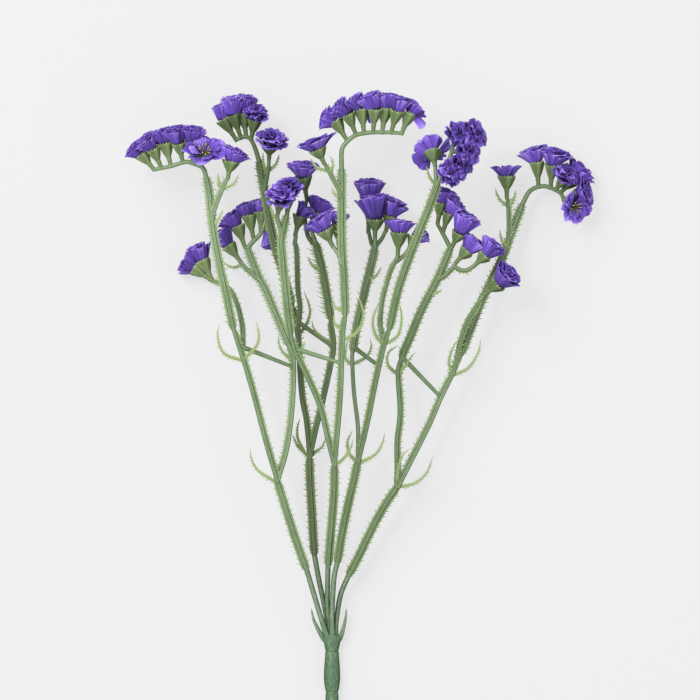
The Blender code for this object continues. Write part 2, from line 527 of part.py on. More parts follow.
def corolla(name, base, mouth, tip, half_width, cup, draw):
    """A pleated cup seated on the calyx's mouth, with a waved rim and a second frill inside it."""
    base, mouth, tip = Vector(base), Vector(mouth), Vector(tip)
    calyx_direction = (mouth - base).normalized()
    direction = (tip - mouth).normalized()
    height = (tip - mouth).length
    right, up = across(direction)
    depth = min(half_width, 0.55 * half_width + 3.2)

    def frill(radius_low, radius_high, rise_low, rise_high, spread):
        points = []
        for k in range(LOBES):
            out = k % 2
            radius = (radius_high if out else radius_low) * (1 + spread * draw.uniform(-1, 1))
            rise = (rise_high if out else rise_low) * (1 + spread * draw.uniform(-1, 1)) * height
            angle = 2 * math.pi * (k + 0.5) / LOBES
            points.append(mouth + direction * rise + right * (radius * half_width * math.cos(angle))
                          + up * (radius * depth * math.sin(angle)))
        return points

    rings = [
        ring(mouth + calyx_direction * GAP, calyx_direction, LOBES, SEAT_SHARE * cup),
        frill(0.84, 1.0, 0.98, 0.86, 0.05),
        frill(0.38, 0.52, 1.04, 0.52, 0.04),
    ]
    return loft(name, rings, tip=mouth + direction * (0.6 * height))


def fuse(name, pieces, material):
    """Join loose pieces into the one body of a node with a Boolean union, and drop the pieces."""
    body, others = pieces[0], pieces[1:]
    if others:
        joined = bpy.data.collections.new(name + "_pieces")
        bpy.context.scene.collection.children.link(joined)
        for obj in others:
            bpy.context.scene.collection.objects.unlink(obj)
            joined.objects.link(obj)
        union = body.modifiers.new("union", "BOOLEAN")
        union.operation = "UNION"
        union.operand_type = "COLLECTION"
        union.collection = joined
        union.solver = "EXACT"
        bpy.context.view_layer.update()
        fused = bpy.data.meshes.new_from_object(body.evaluated_get(bpy.context.evaluated_depsgraph_get()))
        body.modifiers.clear()
        body.data = fused
        keep_outer_shell(fused)
        for obj in others:
            bpy.data.objects.remove(obj)
        bpy.data.collections.remove(joined)
    finish_node(body, name, material)
    return body


def keep_outer_shell(mesh):
    """Fill sealed hollows and drop loose scraps: only the shell with the most corners stays, welded."""
    bm = bmesh.new()
    bm.from_mesh(mesh)
    unseen = set(bm.verts)
    shells = []
    while unseen:
        shell, edge = set(), [unseen.pop()]
        while edge:
            vert = edge.pop()
            shell.add(vert)
            near = [e.other_vert(vert) for e in vert.link_edges]
            edge += [v for v in near if v in unseen]
            unseen.difference_update(near)
        shells.append(shell)
    largest = max(shells, key=len)
    spare = [vert for shell in shells if shell is not largest for vert in shell]
    bmesh.ops.delete(bm, geom=spare, context="VERTS")
    bmesh.ops.remove_doubles(bm, verts=bm.verts[:], dist=WELD * MM)
    bm.to_mesh(mesh)
    bm.free()


def finish_node(body, name, material):
    body.name = name
    body.data.name = name
    body.data.materials.clear()
    body.data.materials.append(material)
    body.data.shade_smooth()
    body.data.set_sharp_from_angle(angle=SHARP_ANGLE)


def rest_flat(body):
    """Press what would lie under the surface flat against it."""
    bm = bmesh.new()
    bm.from_mesh(body.data)
    cut = bmesh.ops.bisect_plane(bm, geom=bm.verts[:] + bm.edges[:] + bm.faces[:], plane_co=(0, 0, 0),
                                 plane_no=(0, 0, -1), clear_outer=True)
    edges = [item for item in cut["geom_cut"] if isinstance(item, bmesh.types.BMEdge)]
    bmesh.ops.holes_fill(bm, edges=edges)
    bm.to_mesh(body.data)
    bm.free()


def turned(name, profile):
    """A body turned about the stalk's line, and no deeper than the stalk's swelling."""
    angles = [2 * math.pi * (k + 0.5) / STALK_SIDES for k in range(STALK_SIDES)]
    rings = []
    for place, radius in profile:
        depth = min(radius, BELLY_R)
        rings.append([Vector((radius * math.cos(a), place, STALK_Z + depth * math.sin(a))) for a in angles])
    return loft(name, rings)


def build_stalk(material):
    """The swollen stalk, drawn in at its top to the pin that the collar is pressed on."""
    pin = [(13.0, JOINT_PIN_R), (JOINT_PIN_TOP, JOINT_PIN_R)]
    stalk = turned("stalk", STALK_PROFILE + pin)
    finish_node(stalk, "stalk", material)


def build_collar(branches, material):
    """The cone with its socket, its five smooth stems with their pins, and two sepals."""
    socket = JOINT_PIN_R + GAP
    profile = [(JOINT_PIN_TOP + GAP, socket), (13.3, socket)] + COLLAR_PROFILE
    pieces = [turned("cone", profile)]
    for points, (stems, _, _, _) in zip(BARE_STEMS, branches):
        _, lower_stretches = stems[0]
        _, branch_points = lower_stretches[0]
        pieces.append(bare_stem(points, branch_points))
    pieces += [sepal(points) for points in SEPALS]
    fuse("collar", pieces, material)


def bare_stem(points, branch_points):
    """A smooth round stem that ends a gap short of its branch, with a slimmer pin inside it."""
    dense = smooth_route(points)
    length = route_length(dense) - GAP
    rings = []
    for k in range(BARE_STEPS):
        centre, direction = point_on(dense, length * k / BARE_STEPS)
        rings.append(ring(centre, direction, BARE_SIDES, BARE_R))
    branch = smooth_route(branch_points)
    mouth, direction = point_on(branch, 0.0)
    rings.append(ring(mouth - direction * GAP, direction, BARE_SIDES, BARE_R))
    rings.append(ring(mouth - direction * GAP, direction, BARE_SIDES, PLUG_R))
    end, direction = point_on(branch, PLUG_LENGTH)
    rings.append(ring(end, direction, BARE_SIDES, PLUG_R))
    return loft("bare_stem", rings)


def sepal(points):
    dense = smooth_route(points)
    length = route_length(dense)
    rings = []
    for share, half_width, half_depth in ((0.0, 2.0, 0.7), (0.35, 1.5, 0.55), (0.7, 0.95, 0.45)):
        centre, direction = point_on(dense, length * share)
        right, up = across(direction)
        rings.append([centre + right * half_width, centre + up * half_depth,
                      centre - right * half_width, centre - up * half_depth])
    return loft("sepal", rings, tip=dense[-1])


def build_branch(name, table, green, violet, draw):
    stems, twigs, bracts, heads = table
    pieces = []
    for k, (size, stretches) in enumerate(stems):
        pieces.append(fringed_stem("stem", size, stretches, socket=k == 0))
    pieces += [twig(points) for points in twigs]
    pieces += [bract("bract", points) for points in bracts]
    for florets in heads.values():
        pieces += [calyx("calyx", base, mouth, cup) for base, mouth, _, _, cup in florets]
    fuse(name, pieces, green)
    for head, florets in heads.items():
        petals = [corolla("corolla", *floret, draw) for floret in florets]
        rest_flat(fuse(head, petals, violet))


def main():
    clear_scene()
    branches = {"branch_a": branch_a(), "branch_b": branch_b(), "branch_c": branch_c(),
                "branch_d": branch_d(), "branch_e": branch_e()}
    draw = random.Random(7)
    stalk_green = plastic("stalk_green", (0.10, 0.24, 0.13), 0.5)
    branch_green = plastic("branch_green", (0.16, 0.28, 0.12), 0.5)
    violet = plastic("violet_fabric", (0.10, 0.045, 0.40), 0.85)
    build_stalk(stalk_green)
    build_collar(branches.values(), stalk_green)
    for name, table in branches.items():
        build_branch(name, table, branch_green, violet, draw)


main()
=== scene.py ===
"""The looks of an artificial statice spray that lies on a pale surface, seen from straight above.

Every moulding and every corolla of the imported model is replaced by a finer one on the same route:
grooved ribs with thin toothed fringes, barbed bracts, fluted calyx cups with a toothed rim, and
pleated fabric petals with pinked edges. +X is to the viewer's right, +Y runs from the stalk to the
flowers and +Z is up. The tables are in millimetres; the meshes are in metres.
"""

import math
import random

import bpy
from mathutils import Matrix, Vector

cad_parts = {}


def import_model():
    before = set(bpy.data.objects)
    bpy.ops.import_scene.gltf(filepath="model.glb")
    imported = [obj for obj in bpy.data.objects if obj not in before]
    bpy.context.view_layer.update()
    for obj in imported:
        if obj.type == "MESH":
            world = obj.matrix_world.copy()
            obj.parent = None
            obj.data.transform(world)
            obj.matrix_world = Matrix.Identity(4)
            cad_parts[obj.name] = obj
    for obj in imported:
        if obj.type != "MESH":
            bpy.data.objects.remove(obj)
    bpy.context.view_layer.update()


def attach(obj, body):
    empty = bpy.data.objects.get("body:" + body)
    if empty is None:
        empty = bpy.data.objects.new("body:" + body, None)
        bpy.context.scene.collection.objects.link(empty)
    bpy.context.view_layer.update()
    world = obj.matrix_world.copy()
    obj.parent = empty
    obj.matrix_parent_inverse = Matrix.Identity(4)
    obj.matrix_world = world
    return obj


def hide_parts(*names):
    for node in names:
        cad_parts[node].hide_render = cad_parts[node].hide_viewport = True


MM = 0.001
GAP = 0.3
LOWEST = 0.15

# The photograph's frame: its size, the width it shows and the pixel above the origin
PHOTO_PIXELS = 700
MM_PER_PIXEL = 0.5
ORIGIN_PIXEL = (332, 678)
VIEW_HEIGHT = 20.0
LENS = 900.0
SENSOR = 36.0

# Stalk and collar
STALK_SIDES = 48
BELLY_R = 3.95
STALK_Z = BELLY_R * math.cos(math.pi / 16)
STALK_PROFILE = [
    (-62.0, 2.9), (-61.6, 3.3), (-48.0, 3.3), (-36.0, 3.3), (-34.5, 2.85), (-33.0, 3.2), (-29.0, 3.7),
    (-24.0, BELLY_R), (-20.0, BELLY_R), (-14.5, 3.6), (-11.0, 3.2), (-8.2, 3.1), (-7.3, 2.85),
    (-6.0, 3.3), (-1.5, BELLY_R), (2.5, BELLY_R), (7.0, 3.7), (10.5, 3.4), (12.2, 3.35), (12.8, 3.15),
    (13.0, 3.0),
]
JOINT_PIN_R = 1.5
JOINT_PIN_TOP = 17.5
COLLAR_PROFILE = [
    (13.05, 2.95), (13.4, 3.2), (14.2, 3.3), (17.0, 3.95), (19.2, 4.5), (20.4, 4.45), (21.3, 3.6),
    (21.8, 2.0),
]
SEAM_HEIGHT = 0.09
SEPALS = [
    [(-2.6, 16.5, 5.2), (-4.9, 20.4, 5.8), (-6.8, 23.8, 6.4), (-9.2, 29.0, 7.2), (-10.5, 35.0, 7.6)],
    [(2.6, 16.5, 4.4), (4.4, 20.4, 4.7), (5.6, 24.2, 5.0), (6.8, 29.5, 5.4), (7.3, 35.0, 5.6)],
]
BARE_R = 1.3
BARE_ROOT = 0.55
BARE_STEMS = [
    [(-1.6, 18.6, 5.0), (-4.0, 25.0, 7.4), (-8.2, 39.0, 13.5), (-12.5, 53.5, 19.0)],
    [(-1.4, 18.6, 3.2), (-3.2, 32.5, 3.8), (-6.6, 49.0, 6.0), (-8.75, 61.0, 8.0)],
    [(-0.6, 18.6, 4.4), (-2.3, 36.0, 7.0), (-2.2, 46.0, 9.0), (-2.0, 55.5, 11.5)],
    [(0.2, 18.6, 5.4), (0.0, 32.5, 9.6), (1.0, 50.0, 14.5), (2.5, 57.0, 16.5)],
    [(1.4, 18.6, 4.0), (2.2, 29.0, 5.2), (4.3, 41.5, 8.0), (8.0, 50.5, 10.5)],
]

# Fringed stems: the rib's half height and the wing's half width
MAIN = (1.25, 1.95)
THIN = (0.8, 1.15)
SIDE = (1.05, 1.5)
RIB_SIDES = 18
RIB_STEP = 2.0
RIB_SHARE = 0.88
CORD_SHARE = 0.62
LIP = 0.2
WING_STEP = 1.6
WING_ROOT = 0.34
WING_EDGE = 0.16
WING_MARGIN = 0.15
TOOTH_PITCH = 3.1
TOOTH = 1.7
TOOTH_ROOT = 0.95
SMALL_TOOTH = 0.45
BRISTLE_PITCH = 2.6
BRISTLE = 3.4

# Twigs, bracts, calyx cups and corollas
TWIG_R = 1.05
TWIG_SIDES = 12
BARB_PITCH = 1.9
BARB = 1.35
BRACT_W = 0.85
CUP_SIDES = 32
CUP_WALL = 0.3
CUP_TOOTH = 0.9
CUP_FLARE = 1.16
CUP_R = 3.2
SINGLE_CUP_R = 3.8
SMALL_CUP_R = 2.4
HANGING_CUP_R = 1.9
PETAL_COLUMNS = 20
PETAL_ROWS = 7
PETAL_THICKNESS = 0.22
PINK_DEPTH = 0.6
STAMENS = 9
STAMEN_R = 0.16
SHARP_ANGLE = math.radians(50)
PLEAT_ANGLE = math.radians(22)
FACING = 0.45

# Layers of petals, as shares of the cup, the half width and the height, with how much they crumple,
# how far they overlap, how late they spread and their number
LAYERS = {
    "side": [
        (0.8, 1.0, 0.02, 0.94, 1.0, 1.4, 0.85, 6), (0.65, 0.84, 0.05, 1.06, 1.4, 1.25, 1.1, 5),
        (0.5, 0.58, 0.05, 1.12, 1.6, 1.2, 1.3, 4), (0.3, 0.32, 0.05, 1.12, 1.2, 1.3, 1.3, 3),
    ],
    "facing": [
        (0.7, 1.04, 0.02, 0.66, 1.0, 1.35, 1.2, 6), (0.55, 0.9, 0.05, 0.86, 1.3, 1.2, 1.6, 5),
        (0.4, 0.7, 0.05, 1.0, 1.4, 1.2, 1.9, 5), (0.25, 0.45, 0.05, 1.08, 1.3, 1.2, 1.9, 4),
    ],
    "open": [(0.7, 1.08, 0.02, 0.7, 1.2, 1.25, 1.0, 5), (0.5, 0.8, 0.05, 0.8, 1.2, 1.0, 1.2, 4)],
    "parted": [(0.8, 1.02, 0.02, 0.96, 1.2, 1.0, 0.9, 5), (0.6, 0.8, 0.05, 1.04, 1.2, 0.9, 1.1, 4)],
}

# How much darker the petals of each manner are: painted shade, which darkens the corollas that face up as if
# shade lay in them
PAINTED_SHADE_OF_MANNER = {"side": 0.0, "facing": 0.13, "open": 0.0, "parted": 0.0}

# Light and floor
FLOOR_COLOUR = (0.12, 0.12, 0.12)
FLOOR_GLOW = 0.66
SKY = [(0.3, 0.02), (0.48, 0.8), (1.0, 0.75)]
KEY_POWER = 56.0
SPARK_POWER = 14.0
FILL_POWER = 4.0


def branch_a():
    """The left front branch: one long curled stem and one that leans behind it."""
    stems = [
        (MAIN, [("LR", [(-12.5, 53.5, 19), (-18, 69, 23), (-22.5, 83, 26), (-27.5, 99, 28)])]),
        (MAIN, [("R", [(-27.2, 98, 28), (-33, 117.5, 31), (-39.5, 142.5, 34), (-44.8, 160.5, 36)]),
                ("LR", [(-49, 174, 37), (-52.5, 190.5, 37), (-56.7, 209.5, 36), (-59.6, 226, 34),
                        (-61.3, 242.5, 32), (-63, 251, 31)])]),
        (MAIN, [("L", [(-27, 98.5, 28), (-22.2, 115.5, 26.5), (-19.5, 137.5, 25), (-19, 158.5, 24)]),
                ("LR", [(-21.5, 166, 23), (-25.5, 175.5, 20), (-33.5, 194.5, 14.5), (-37, 201, 12.5),
                        (-42.7, 215.5, 9.5)])]),
        (SIDE, [("l", [(-59.8, 229, 33.5), (-58.5, 234, 34), (-55, 243, 34.5), (-52, 249.8, 34.5)])]),
        (SIDE, [("L", [(-36.3, 199, 13), (-42.7, 205, 11.5), (-45.6, 207.9, 10.5)])]),
        (THIN, [("LR", [(-44.5, 161, 35.6), (-44.5, 173.5, 30), (-45.5, 180, 26), (-47.5, 187, 21),
                        (-51, 194, 16), (-56, 197.2, 11.5), (-60.8, 199, 8.5)])]),
    ]
    twigs = [
        [(-62.8, 250, 31), (-64.5, 255, 30.5), (-69.5, 257.2, 30), (-73, 258, 30), (-80.5, 255.8, 30),
         (-89.2, 254, 30)],
        [(-42.4, 214.6, 9.6), (-40, 217.8, 9), (-35.6, 222.4, 9), (-34, 227, 9), (-33, 229.8, 8.7)],
        [(-45.6, 165.9, 36.4), (-18.9, 155.3, 24.3)],
    ]
    bracts = [
        [(-28, 98, 28), (-36.5, 103.5, 29), (-40, 109, 30), (-41, 115, 31)],
        [(-45, 158.8, 36), (-54, 162.5, 37), (-57, 171, 38.5), (-56, 177, 39.5)],
        [(-44, 159.5, 36), (-38, 165.5, 38.5), (-36.5, 171, 39.5), (-37.7, 178.5, 41)],
        [(-19.5, 158.5, 24), (-24.5, 163, 25.5), (-26.5, 167.5, 26.5), (-26.5, 172, 27.5)],
        [(-54.6, 244, 34.5), (-56.5, 247.5, 35), (-56.7, 252.5, 36)],
        [(-54, 244.5, 34.5), (-48.8, 247.3, 35.5), (-46.5, 252, 36.5)],
        [(-59.3, 226, 33.8), (-56.5, 229.5, 34.5), (-54.2, 234.5, 35)],
        [(-45, 207, 10.6), (-49, 205.3, 10.6), (-53, 206.8, 10.2), (-55, 209.4, 10)],
    ]
    heads = {
        "corollas_a1_spike": [
            ((-89, 254.2, 30), (-95, 261.6, 30.5), (-100, 265.4, 31), 5.8, CUP_R),
            ((-85.2, 255, 30), (-89.4, 264.3, 32.2), (-94.2, 269.4, 34), 6.5, CUP_R),
            ((-80.5, 256.2, 30), (-83.2, 266.6, 29.8), (-86, 273.4, 29.5), 6.8, CUP_R),
            ((-74.5, 257.8, 30), (-76.5, 267, 32.4), (-78.6, 274.8, 34), 6.8, CUP_R),
            ((-69.5, 257.4, 30), (-70, 267.4, 31.5), (-69.4, 274.6, 33), 7, CUP_R),
            ((-65, 256.2, 30.6), (-63.8, 261.4, 34), (-63.4, 265.8, 39.5), 10, SINGLE_CUP_R),
        ],
        "corolla_a1_side": [((-52, 249.8, 34.5), (-50.5, 257.8, 35), (-47.6, 263.6, 36), 7.5, SINGLE_CUP_R)],
        "corollas_a1_low": [
            ((-60.6, 199, 8.2), (-68.5, 204.6, 6.2), (-74.5, 207.8, 6.2), 6.8, CUP_R),
            ((-60, 199, 8.8), (-64.5, 208.3, 7.6), (-67.6, 215.8, 8), 6.8, CUP_R),
        ],
        "corollas_a2_spike": [
            ((-45.6, 207.9, 10.5), (-51.5, 216, 10), (-56.4, 223, 10), 6.2, CUP_R),
            ((-43.6, 215.6, 9.5), (-47.2, 225.6, 9.5), (-51.6, 231.4, 9.5), 7, CUP_R),
            ((-39.2, 219.4, 9), (-41.6, 231.2, 9.5), (-43.4, 237, 10), 6.2, CUP_R),
            ((-35.6, 222.6, 9), (-35.7, 232.6, 8.8), (-36.6, 238.8, 8.5), 5.4, SMALL_CUP_R),
        ],
        "corolla_a2_hanging": [((-33, 229.4, 8.6), (-32.2, 225, 7.8), (-31, 216, 6.8), 4.4, HANGING_CUP_R)],
    }
    return stems, twigs, bracts, heads


def branch_b():
    """The back branch, darkened with painted shade: one stem to the top left spike and one to the middle of
    the spray.
    """
    stems = [
        (MAIN, [("LR", [(-8.75, 61, 8), (-9.5, 72.5, 9.5), (-10.2, 85, 11), (-11, 99, 12.5),
                        (-11.2, 111, 14)])]),
        (MAIN, [("R", [(-11.2, 110, 14), (-13, 128, 15.5), (-15.5, 142.5, 16.5), (-17.7, 174, 18)]),
                ("LR", [(-20, 186, 19), (-24.5, 203, 20.5), (-27.5, 212, 21.5), (-31.5, 230.2, 23),
                        (-34, 244.5, 23.5), (-36.5, 259.2, 24)])]),
        (MAIN, [("L", [(-11, 110, 14), (-8, 123.5, 15.5), (-4.5, 137.5, 16.5), (-0.2, 157, 18),
                       (1.2, 166.5, 18.5)]),
                ("lR", [(-0.5, 179, 20), (-4.2, 201.2, 24), (-6.5, 211, 26.5), (-8.2, 218, 27.4)])]),
        (THIN, [("LR", [(-17.5, 172, 18.3), (-16.5, 179, 20), (-16, 186.5, 22), (-17, 194, 24),
                        (-17.5, 212, 28.5), (-18.4, 218, 30.4)])]),
    ]
    twigs = [
        [(-36.3, 258, 24), (-38.5, 265, 24), (-41, 269.8, 24), (-44.5, 270.6, 24), (-48.2, 268.6, 24)],
        [(-34, 243, 23.5), (-33, 248, 24.5), (-31.8, 254, 25.5), (-31.5, 259.5, 26)],
        [(-18.5, 216.5, 30), (-18.4, 219, 30.7), (-17.7, 221.5, 31)],
        [(-8, 217, 27.2), (-9.2, 220.5, 26.6), (-10.4, 223.8, 25.8)],
        [(-8, 216, 27.4), (-12, 221, 21), (-13.6, 231, 18.5), (-12.6, 239.8, 25.6)],
        [(-18.3, 179, 18.6), (0.6, 165.5, 18.4)],
    ]
    bracts = [
        [(-11.5, 110.5, 14), (-14.7, 113.5, 15), (-17.5, 116.5, 15.5), (-20, 122, 16.5)],
        [(-14, 113, 15), (-17, 119.5, 17), (-17.3, 125, 18), (-16, 130, 19.5)],
        [(-10.8, 110.5, 14), (-8.5, 113, 13.2), (-5, 115.5, 12.8), (-3, 120.5, 12.5)],
        [(-17.4, 170.5, 17.6), (-13, 176.5, 17.4), (-11, 184, 18.5), (-14, 193.5, 20)],
        [(0.8, 167, 18.5), (-5, 170.5, 19), (-9, 174.5, 20), (-10, 179, 21)],
        [(-5.2, 204.8, 24.8), (-9.5, 206, 25.5), (-12.3, 211, 26)],
        [(-32.4, 252, 25.2), (-34.2, 257, 27), (-34.4, 263, 27.5)],
        [(-31.8, 253.5, 25.4), (-28, 257, 25), (-26.3, 262, 24.5)],
    ]
    heads = {
        "corollas_b1_spike": [
            ((-47.8, 268.9, 24), (-54.3, 278.8, 24), (-55.4, 286, 24), 5.2, CUP_R),
            ((-45.5, 270, 24), (-49.4, 281.2, 26), (-49.4, 289.8, 27), 6.2, CUP_R),
            ((-42.8, 270.4, 24), (-44.4, 281.4, 22.8), (-43, 290.4, 23), 6.4, CUP_R),
            ((-40.4, 269, 24), (-38.8, 278.4, 25.4), (-37.4, 284.6, 30.4), 6.2, CUP_R),
        ],
        "corolla_b1_side": [((-31.5, 259.4, 26), (-31, 265.6, 28.5), (-29.4, 271.6, 33.6), 8, SINGLE_CUP_R)],
        "corolla_b1_inner": [((-18.4, 221.4, 31), (-16, 230.6, 32.2), (-11.8, 235.6, 33.4), 5.6, CUP_R)],
        "corolla_b2_tip": [((-10.4, 223.6, 25.8), (-8, 232.2, 25.6), (-5, 238.6, 25), 7.2, CUP_R)],
        "corolla_b2_back": [((-12.6, 239.6, 26), (-14.4, 250.4, 29.5), (-14.2, 257.2, 31), 8, SINGLE_CUP_R)],
    }
    return stems, twigs, bracts, heads


def branch_c():
    """The middle branch: a thick light stem to the left and the tallest stem, which curls right."""
    stems = [
        (MAIN, [("LR", [(-2, 55.5, 11.5), (-0.7, 71, 17), (1, 92, 24), (1.2, 107, 29)])]),
        (MAIN, [("R", [(1.2, 106, 29), (-2, 118.5, 31), (-6, 135, 33), (-11.8, 149, 34.5),
                       (-18, 162, 36)]),
                ("LR", [(-20.5, 171, 37), (-22.8, 190.5, 38), (-24.6, 209.5, 38.5), (-25.2, 219, 38.5),
                        (-22.6, 231.5, 38.5)])]),
        (MAIN, [("L", [(1.4, 106, 29), (3, 123.5, 33), (4.5, 142.5, 37), (5.5, 170, 41.5)]),
                ("LR", [(6.5, 180.8, 43), (6, 200, 44), (5, 219, 44), (4.8, 255, 43)])]),
        (SIDE, [("R", [(4.7, 239, 43.5), (3.3, 243.5, 44.5), (-1, 251.5, 45), (-3.75, 257, 45)])]),
    ]
    twigs = [
        [(4.8, 254, 43), (4.8, 263, 42.5), (6.3, 266.5, 42), (9.5, 269.7, 42), (13, 271.5, 42),
         (19.5, 272.5, 42), (28.5, 272.5, 42), (35.3, 272, 42)],
        [(-24.6, 222, 38.6), (-26.6, 227, 39.2), (-27.3, 231.6, 39.7)],
        [(4.9, 206.5, 44), (3.6, 211, 43), (0.4, 216, 42)],
        [(5, 204.5, 43.4), (4.8, 209, 38), (3.6, 214, 33.5)],
        [(-17.4, 164.4, 36.3), (5, 157.3, 39.6)],
    ]
    bracts = [
        [(1.5, 106.5, 29), (5.5, 109.5, 31.5), (9, 114.5, 34), (10.8, 120, 36)],
        [(5.6, 169, 41.5), (12.5, 173, 43.5), (15.7, 181.5, 45.5), (13.2, 191, 47)],
        [(5.6, 174, 42.2), (1.5, 177, 43.5), (1, 182, 44.5)],
        [(6.4, 183, 43.2), (1.6, 185.5, 44.5), (0.6, 189.5, 45.5)],
        [(-17.2, 162, 36), (-14.8, 165, 36.6), (-13.5, 169, 37)],
        [(-24.6, 225, 38.5), (-29, 231, 38), (-31.3, 236.5, 38)],
        [(-2.2, 253.5, 45), (-7.5, 255, 45.5), (-11, 260, 46)],
        [(-1.6, 252.5, 45), (0.6, 256, 46), (-0.8, 261, 46.5)],
        [(4.2, 240.5, 44), (1.4, 241.5, 44.8), (0, 245.5, 45.5)],
    ]
    heads = {
        "corollas_c1_tip": [
            ((-27.3, 231, 39.6), (-26, 236.8, 41.5), (-25.2, 243.4, 48.5), 7.8, SMALL_CUP_R),
            ((-22.5, 230.5, 38.5), (-21.6, 239.6, 39), (-21.6, 247.4, 46.2), 7.4, SMALL_CUP_R),
        ],
        "corollas_c2_spike": [
            ((7.5, 268.6, 42), (2, 277.6, 41), (-4.6, 280.2, 40.5), 6, CUP_R),
            ((12, 271.4, 42), (8, 281.4, 44), (2, 286, 45), 6.2, CUP_R),
            ((16, 272, 42), (14.8, 283.2, 40.5), (9.8, 289, 40), 6.3, CUP_R),
            ((20.5, 272.5, 42), (21.4, 283.8, 44), (18, 290.8, 45), 6.5, CUP_R),
            ((25, 272.5, 42), (26.6, 283.6, 40.5), (26.4, 291, 40), 6.5, CUP_R),
            ((29.5, 272.4, 42), (32.4, 283, 44), (34.6, 289.6, 45), 6.4, CUP_R),
            ((34.8, 272, 42), (38.6, 281.6, 41), (43, 285.6, 40.5), 6, CUP_R),
        ],
        "corolla_c2_side": [((-3.75, 256.8, 45), (-7, 263.6, 45.5), (-9, 269, 46), 10.2, SINGLE_CUP_R)],
        "corolla_c2_low": [((0.4, 215.6, 42), (-3.4, 223.3, 42.5), (-7.6, 229.4, 43), 8.4, SINGLE_CUP_R)],
        "corolla_c2_back": [((3.6, 214, 33.6), (3, 226, 32), (3.8, 232.2, 31.5), 5.2, CUP_R)],
    }
    return stems, twigs, bracts, heads


def branch_d():
    """The branch right of the middle, slightly darkened with painted shade: a low dark stem behind and a long
    one in front.
    """
    stems = [
        (MAIN, [("LR", [(2.5, 57, 16.5), (5.5, 74.5, 21), (8.8, 90, 25), (11, 99, 27), (13, 109, 29)])]),
        (MAIN, [("", [(12.8, 108, 29), (13, 125, 26.5), (11, 142.5, 23), (10.2, 157, 20.5)]),
                ("LR", [(10.3, 163, 19.8), (13, 179, 18.5), (18, 200, 18), (20.8, 211.5, 18),
                        (21.6, 217, 18)])]),
        (MAIN, [("L", [(13.2, 108, 29), (18, 128, 33.5), (22.5, 150, 38), (26.5, 167.5, 41)]),
                ("LR", [(28.5, 174, 42.5), (32.5, 192, 44.5), (36, 203, 45), (42, 219, 45),
                        (49, 236.5, 43.5), (53, 247.5, 42)])]),
        (THIN, [("LR", [(26, 167, 40.8), (24.5, 174, 39.5), (24, 179, 38), (25, 188.5, 36),
                        (27, 196.5, 34.5), (29.5, 204.5, 33), (32.3, 209.5, 32)])]),
    ]
    twigs = [
        [(21.4, 215.6, 18), (21.6, 218.2, 18), (21.5, 221, 18)],
        [(21.2, 214.6, 17.6), (19.6, 218, 13), (18.2, 224, 9)],
        [(21.6, 216, 17.8), (24.8, 219.5, 15), (27, 224, 14.5)],
        [(52.7, 246.6, 42), (55.2, 253, 41.2), (58.4, 259, 40.7), (60.8, 267, 40.4)],
        [(52.4, 246.2, 42), (51.8, 251, 41.6), (51.5, 255.8, 40.6)],
        [(31.8, 208, 32.3), (36, 211.2, 30.5), (38, 214, 30)],
        [(32, 208.8, 32.2), (32.8, 211, 32)],
        [(10.9, 165.4, 19.4), (23.9, 155.6, 39.2)],
    ]
    bracts = [
        [(12.4, 108.5, 29), (8.8, 112, 27), (7.8, 118, 25), (10.3, 124, 23.5)],
        [(13.4, 107.5, 29), (21.7, 112, 30), (25.5, 118.5, 31), (26.2, 123, 32)],
        [(10.6, 157, 20.5), (17, 160.5, 21.5), (19.5, 165, 22.5), (19.2, 170, 23.5)],
        [(9.9, 156.5, 20.6), (6.6, 160, 20.4), (7, 165, 20.6), (8, 170, 21)],
        [(18, 199.5, 18), (22, 201, 19), (24.8, 206, 20)],
        [(26.2, 167, 41), (22, 171, 42), (20.5, 179, 43.5), (23.5, 188.5, 45.5)],
        [(26.8, 167, 41), (33, 171.5, 42.5), (34.7, 180, 44), (33.7, 187.5, 47.5)],
        [(52, 246, 42), (48.6, 250.5, 42.5), (47.2, 256, 43)],
    ]
    heads = {
        "corollas_d1_spike": [
            ((21.5, 220.2, 18), (21.6, 228.8, 18.4), (21, 240.6, 19), 9.5, SINGLE_CUP_R),
            ((18.2, 223.4, 9.2), (18.6, 237.2, 7.8), (18.6, 248.4, 8.4), 8.2, CUP_R),
            ((27, 223.6, 14.5), (28.8, 230.8, 15.5), (32.2, 238.4, 16.5), 6.6, CUP_R),
        ],
        "corollas_d2_spike": [
            ((54.6, 250.6, 41.4), (56.6, 251, 45.2), (60.2, 252.4, 51), 7.4, SMALL_CUP_R),
            ((57.6, 257.2, 40.9), (61.6, 256.8, 44), (66.4, 256.6, 50), 7.4, SMALL_CUP_R),
            ((59.6, 263, 40.5), (64.8, 263.2, 42.8), (69.8, 263.4, 49), 8.2, SMALL_CUP_R),
            ((60.4, 266, 40.5), (61.6, 269.8, 43.6), (64.4, 272.2, 49.6), 7.4, SMALL_CUP_R),
            ((60.8, 266.2, 40.4), (68, 270, 41.4), (73, 272.4, 46), 8.4, SMALL_CUP_R),
        ],
        "corolla_d2_tip": [((51.5, 255.6, 40.5), (50.4, 262, 36.5), (49.4, 265, 31.5), 9.6, SINGLE_CUP_R)],
        "corolla_d2_side": [((32.8, 210.8, 32), (33.5, 221.8, 31.5), (34, 228.2, 31), 8, SINGLE_CUP_R)],
        "corolla_d2_right": [((38, 213.6, 30), (41, 219.6, 29.4), (46.4, 222.6, 29), 5.2, CUP_R)],
    }
    return stems, twigs, bracts, heads


